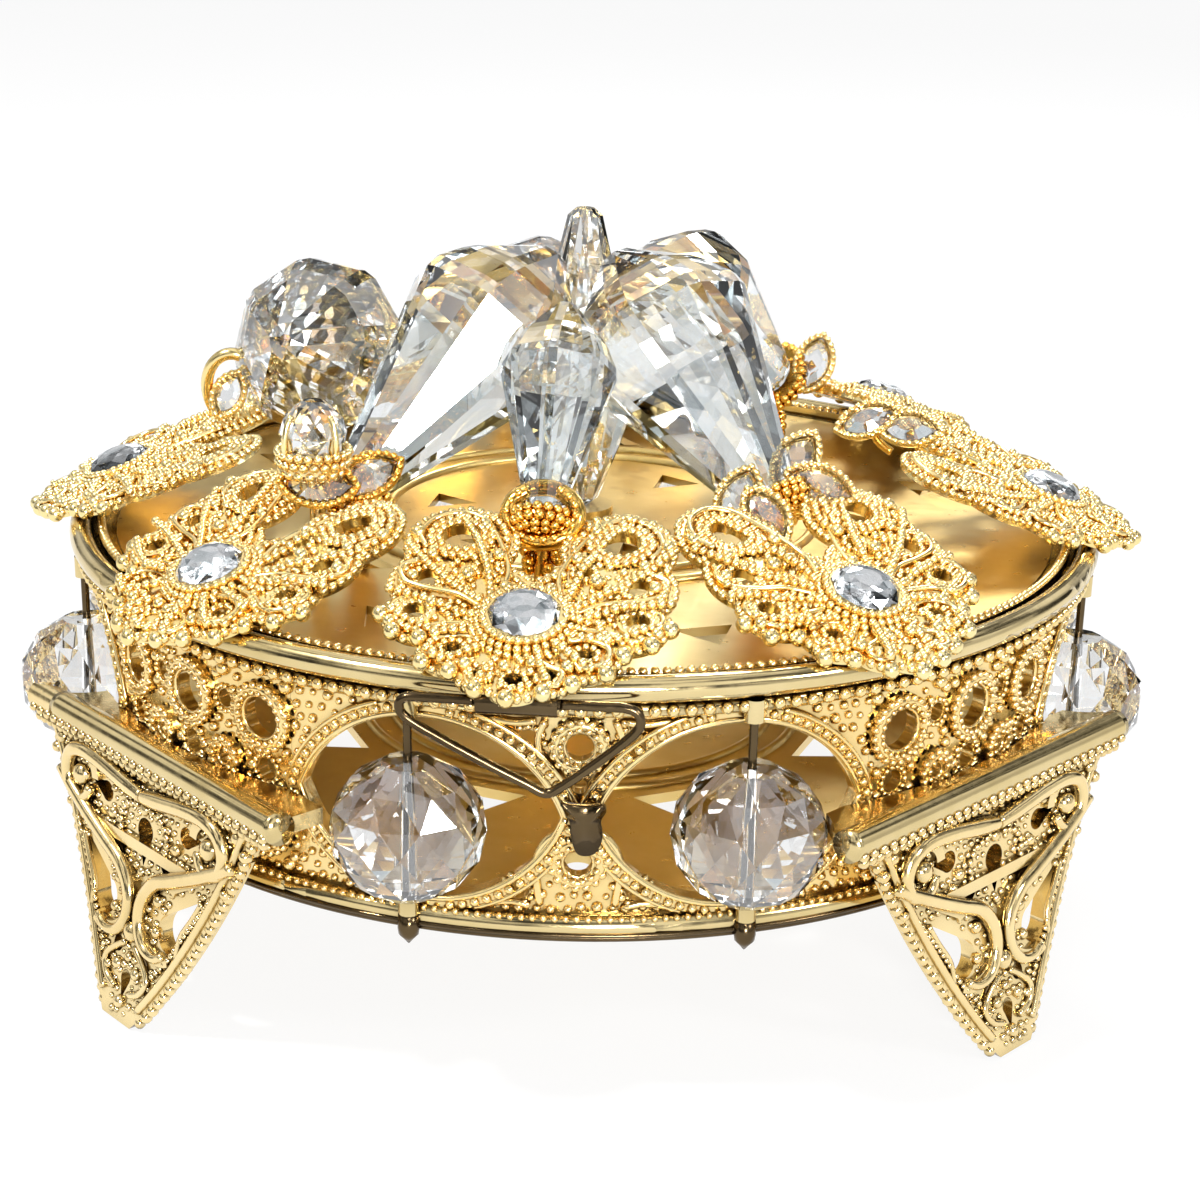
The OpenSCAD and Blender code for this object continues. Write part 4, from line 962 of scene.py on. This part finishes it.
# heavy loop that holds the front drop's tip
tip = np.array(FRONT_TIP)
t = np.linspace(0, 2 * math.pi, 40, endpoint=False)
n = unit([-0.15, -0.8, 0.6])
u = unit(np.cross([0, 0, 1.0], n))
v = np.cross(n, u)
ring = tip + [0, -0.4, 0.3] + 3.7 * np.cos(t)[:, None] * u + 3.0 * np.sin(t)[:, None] * v
tube(amber, ring, 0.95, sides=12, closed=True)
crest = even(np.concatenate([ring, ring[:1]]), 1.15, True)
spheres(amber, crest + 0.75 * n, rng.uniform(0.42, 0.56, len(crest)), 8)
for low, high, size in DROPS:
    at = polar(low)
    d = unit(at - polar(high))
    (a,), (b,), _ = frames(d[None])
    for out, along, r in COLLAR:
        rr = DROP_TIP_R * size + COLLAR_GAP + COLLAR_WALL + out
        if rr < 0.4:
            continue
        count = max(int(2 * math.pi * rr / (1.9 * r)), 3)
        t = 2 * math.pi * np.arange(count) / count + along
        pts = at + d * along + rr * (np.cos(t)[:, None] * a + np.sin(t)[:, None] * b)
        spheres(amber, pts, rng.uniform(0.92 * r, 1.1 * r, count), 9)
    for _ in range(HEAP):
        z = rng.uniform(PLATE_TOP + 0.6, at[2] - 1.4)
        t, spread = rng.uniform(0, 2 * math.pi), 1.2 + 1.5 * ((z - PLATE_TOP) / (at[2] - PLATE_TOP)) ** 2
        spot = [at[0] + spread * math.cos(t), at[1] + spread * math.sin(t), z]
        spheres(amber, spot, rng.uniform(0.5, 0.8), 8, 5)
# pale glint stone that lies across the front loop
v, t = cut_rings([(1.0, -0.5, 0.5), (1.0, 0.1, 0.5), (0.72, 0.6, 0.5)], 4)
across = unit(np.array([0.93, -0.1, 0.36]) - n * (n @ [0.93, -0.1, 0.36]))
lie = np.cross(n, across)
glass.add(tip + [0.3, -1.6, 0.9] + v[:, :1] * 2.7 * across + v[:, 1:2] * 1.25 * lie + v[:, 2:3] * n, tris=t)
# pale open ring and its small leaf by the left bow
c = np.array([-43.0, 4.2, 59.0])
t = np.linspace(math.radians(-150), math.radians(120), 34)
ring = c + np.stack([3.3 * np.cos(t + math.pi), -1.2 * np.sin(t), 4.6 * np.sin(t)], 1)
tube(gold, ring, 0.75, sides=10)
marquise(gold, glass, c + [-0.6, -0.8, -0.6], (0.4, 0, 1), (0, -0.9, 0.4), 6.0, 3.6)
piece(gold, "tip_loops", BOW_GOLD, "lid")
piece(amber, "tip_wires", DEEP_GOLD, "lid")
piece(glass, "tip_stones", STONE, "lid", smooth=False)


# ---- ball stone, cut from rings turned half a side against each other, in its beaded cup
BALL_R, BALL_ROWS, BALL_SIDES = 3.75, 6, 9
PRONG = [(3.7, 1.6), (3.95, 3.2), (3.6, 5.0), (2.9, 6.3)]
cup = polar(CUP)
rings = []
for i in range(BALL_ROWS + 1):
    e = math.pi * (i / BALL_ROWS - 0.5)
    rings.append((BALL_R * max(math.cos(e), 0.28), BALL_R * 0.97 * math.sin(e), 0.5 * (i % 2)))
v, t = cut_rings(rings, BALL_SIDES)
s = Shape()
s.add(v + cup + [0, 0, 3.9], tris=t)
ball = piece(s, "cup_ball", STONE, "lid", smooth=False)
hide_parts("cup_stone")
s = Shape()
for z, r, size in ((-0.1, 3.4, 0.62), (0.95, 3.75, 0.56), (1.95, 3.85, 0.52)):
    count = int(2 * math.pi * r / (2.0 * size))
    t = 2 * math.pi * np.arange(count) / count + z
    spheres(s, cup + np.stack([r * np.cos(t), r * np.sin(t), np.full(count, z)], 1), size, 9)
for k in range(4):
    t = math.radians(90 * k + 45)
    tube(s, curve([cup + [r * math.cos(t), r * math.sin(t), z] for r, z in PRONG], 0.3), 0.34)
piece(s, "cup_beading", BOW_GOLD, "lid")

# ---- catch: a dark folded strip with a flared lip
CATCH_X, CATCH_Z = 0.6, 34.65
FRONT_Y, BACK_Y = -60.35, -59.25
s = Shape()
outline = [(-2.1, -0.2), (-2.5, 0.6), (-1.2, 0.1), (0.4, -0.1), (1.7, 0.2), (2.1, -0.9), (1.6, -2.6),
           (1.8, -4.4), (1.0, -6.1), (-0.6, -6.2), (-1.3, -4.6), (-1.5, -2.8), (-2.0, -1.6)]
x, z = (curve(outline, 0.35, True) + [CATCH_X, CATCH_Z - 0.4]).T
count = len(x)
lean = np.clip((z - (CATCH_Z - 3.0)) / 3.0, 0, 1) ** 1.5 * 2.9
middle = [[CATCH_X, FRONT_Y - 0.05, CATCH_Z - 3.4], [CATCH_X, BACK_Y, CATCH_Z - 3.4]]
verts = np.concatenate([np.stack([x, FRONT_Y - lean, z], 1), np.stack([x, BACK_Y - lean, z], 1), middle])
caps = [fan(2 * count, np.arange(count)[::-1]), fan(2 * count + 1, np.arange(count, 2 * count))]
s.add(verts, bands(2, count), np.concatenate(caps))
catch = piece(s, "catch_strip", BRONZE, "casket_body")
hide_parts("catch_tab")

# ---- latch: the bent wire
LATCH_ANG, LATCH_Y, LATCH_Z = -5.6, 63.0, 45.25
s = Shape()
bend = [(-4.2, 0), (-8.4, 0), (-10.9, -0.1), (-11.6, -1.0), (-10.8, -2.3), (-7.2, -4.4), (-2.4, -6.9),
        (0.9, -8.5), (2.9, -9.4), (4.4, -8.6), (7.2, -6.4), (10.2, -3.8), (11.9, -1.9), (11.7, -0.5),
        (10.4, 0), (8.0, 0), (4.2, 0)]
for line, r in ((curve(bend, 0.35), 0.50), (np.array([(-4.2, 0), (4.2, 0)]), 0.55)):
    wire = np.stack([line[:, 0], np.full(len(line), -LATCH_Y), LATCH_Z + line[:, 1]], 1)
    tube(s, wire @ turned(LATCH_ANG).T, r, sides=10)
bail = piece(s, "latch_wire", BRONZE, "latch_bail")
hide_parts("latch_bail")


# ---- floor, light and camera
def seen_ray(nt, *names):
    """One where a ray of any of the named kinds arrives."""
    path = add_node(nt, "LightPath", {})
    out = path.outputs[names[0]]
    for name in names[1:]:
        out = add_node(nt, "Math", {0: out, 1: path.outputs[name]}, operation="MAXIMUM").outputs[0]
    return out


# the share of the floor that shows plain white; the rest takes the object's shadow
FLOOR_GLOW = 0.88
FLOOR_SIZE, FLOOR_Z = 6, -0.0002
bpy.ops.mesh.primitive_plane_add(size=FLOOR_SIZE, location=(0, 0, FLOOR_Z))
floor = bpy.context.object
floor.name = "studio_floor"
mat, nt, bsdf = new_material("floor_white")
feed(nt, bsdf, {"Base Color": (0.86, 0.86, 0.86, 1), "Roughness": 0.9, "Specular IOR Level": 0.1})
glow = add_node(nt, "Emission", {"Color": (1, 1, 1, 1), "Strength": 1.0})
rays = seen_ray(nt, "Is Camera Ray", "Is Glossy Ray", "Is Transmission Ray")
share = add_node(nt, "Math", {0: rays, 1: FLOOR_GLOW}, operation="MULTIPLY").outputs[0]
put_out(nt, share, bsdf, glow)
floor.data.materials.append(mat)

# the camera sees white, metal sees a pale studio in patches, and light through crystal sees panes
world = bpy.data.worlds.new("studio")
bpy.context.scene.world = world
world.use_nodes = True
nt = world.node_tree
around = add_node(nt, "TexCoord", {}).outputs["Generated"]
height = add_node(nt, "SeparateXYZ", {0: around}).outputs["Z"]
lift = ramp(nt, height, [(0.0, 0.80), (0.15, 0.55), (0.45, 1.0), (0.9, 1.0)])
patches = ramp(nt, noise(nt, around, 3.4, 2.0, 0.5), [(0.40, 0.06), (0.47, 0.40), (0.54, 1.0)])
panes = ramp(nt, noise(nt, around, 4.2, 2.0, 0.5),
             [(0.36, (0.34, 0.40, 0.42)), (0.46, (0.62, 0.68, 0.70)), (0.54, (0.95, 0.96, 0.97)),
              (0.66, (1.0, 1.0, 1.0))])
seen = colour_mix(nt, lift, patches, 1.0, "MULTIPLY")
seen = colour_mix(nt, seen, panes, seen_ray(nt, "Is Transmission Ray"))
seen = colour_mix(nt, seen, (1, 1, 1, 1), seen_ray(nt, "Is Camera Ray"))
feed(nt, nt.nodes["Background"], {"Color": seen, "Strength": 1.0})


def area(name, location, size, power):
    """Square lamp of a size in metres and a power in watts, aimed at the casket."""
    light = bpy.data.lights.new(name, "AREA")
    light.size = size
    light.energy = power
    ob = bpy.data.objects.new(name, light)
    ob.location = location
    ob.rotation_euler = (Vector((0, 0, 0.03)) - Vector(location)).to_track_quat("-Z", "Y").to_euler()
    bpy.context.scene.collection.objects.link(ob)


area("key", (-0.44, -0.20, 0.74), 0.06, 6.0)
area("front", (0.10, -0.75, 0.22), 0.16, 5.5)
area("fill", (0.6, -0.45, 0.50), 0.14, 2.4)
area("rim", (0.15, 0.6, 0.6), 0.20, 3.5)

# camera: angles in degrees, distance in metres from the point it looks at, lens from the photo's pixels
ELEVATION, ROLL, DISTANCE = 19.2, 1.1, 0.286
LOOK_AT = Vector((0, 0, 0.034))
FOCAL_PX, FRAME_PX, MIDDLE_PX = 2311.0, 1200.0, 583.0
SENSOR = 36.0
lens = bpy.data.cameras.new("camera")
lens.sensor_width = SENSOR
lens.lens = FOCAL_PX / FRAME_PX * SENSOR
lens.shift_x = (FRAME_PX / 2 - MIDDLE_PX) / FRAME_PX
lens.clip_start = 0.01
camera = bpy.data.objects.new("camera", lens)
tip_down = Matrix.Rotation(math.radians(90 - ELEVATION), 4, "X")
tilt = Matrix.Rotation(math.radians(ROLL), 4, "Z")
camera.matrix_world = Matrix.Translation(LOOK_AT) @ tip_down @ Matrix.Translation((0, 0, DISTANCE)) @ tilt
bpy.context.scene.collection.objects.link(camera)
bpy.context.scene.camera = camera

bpy.context.scene.view_settings.view_transform = "Standard"
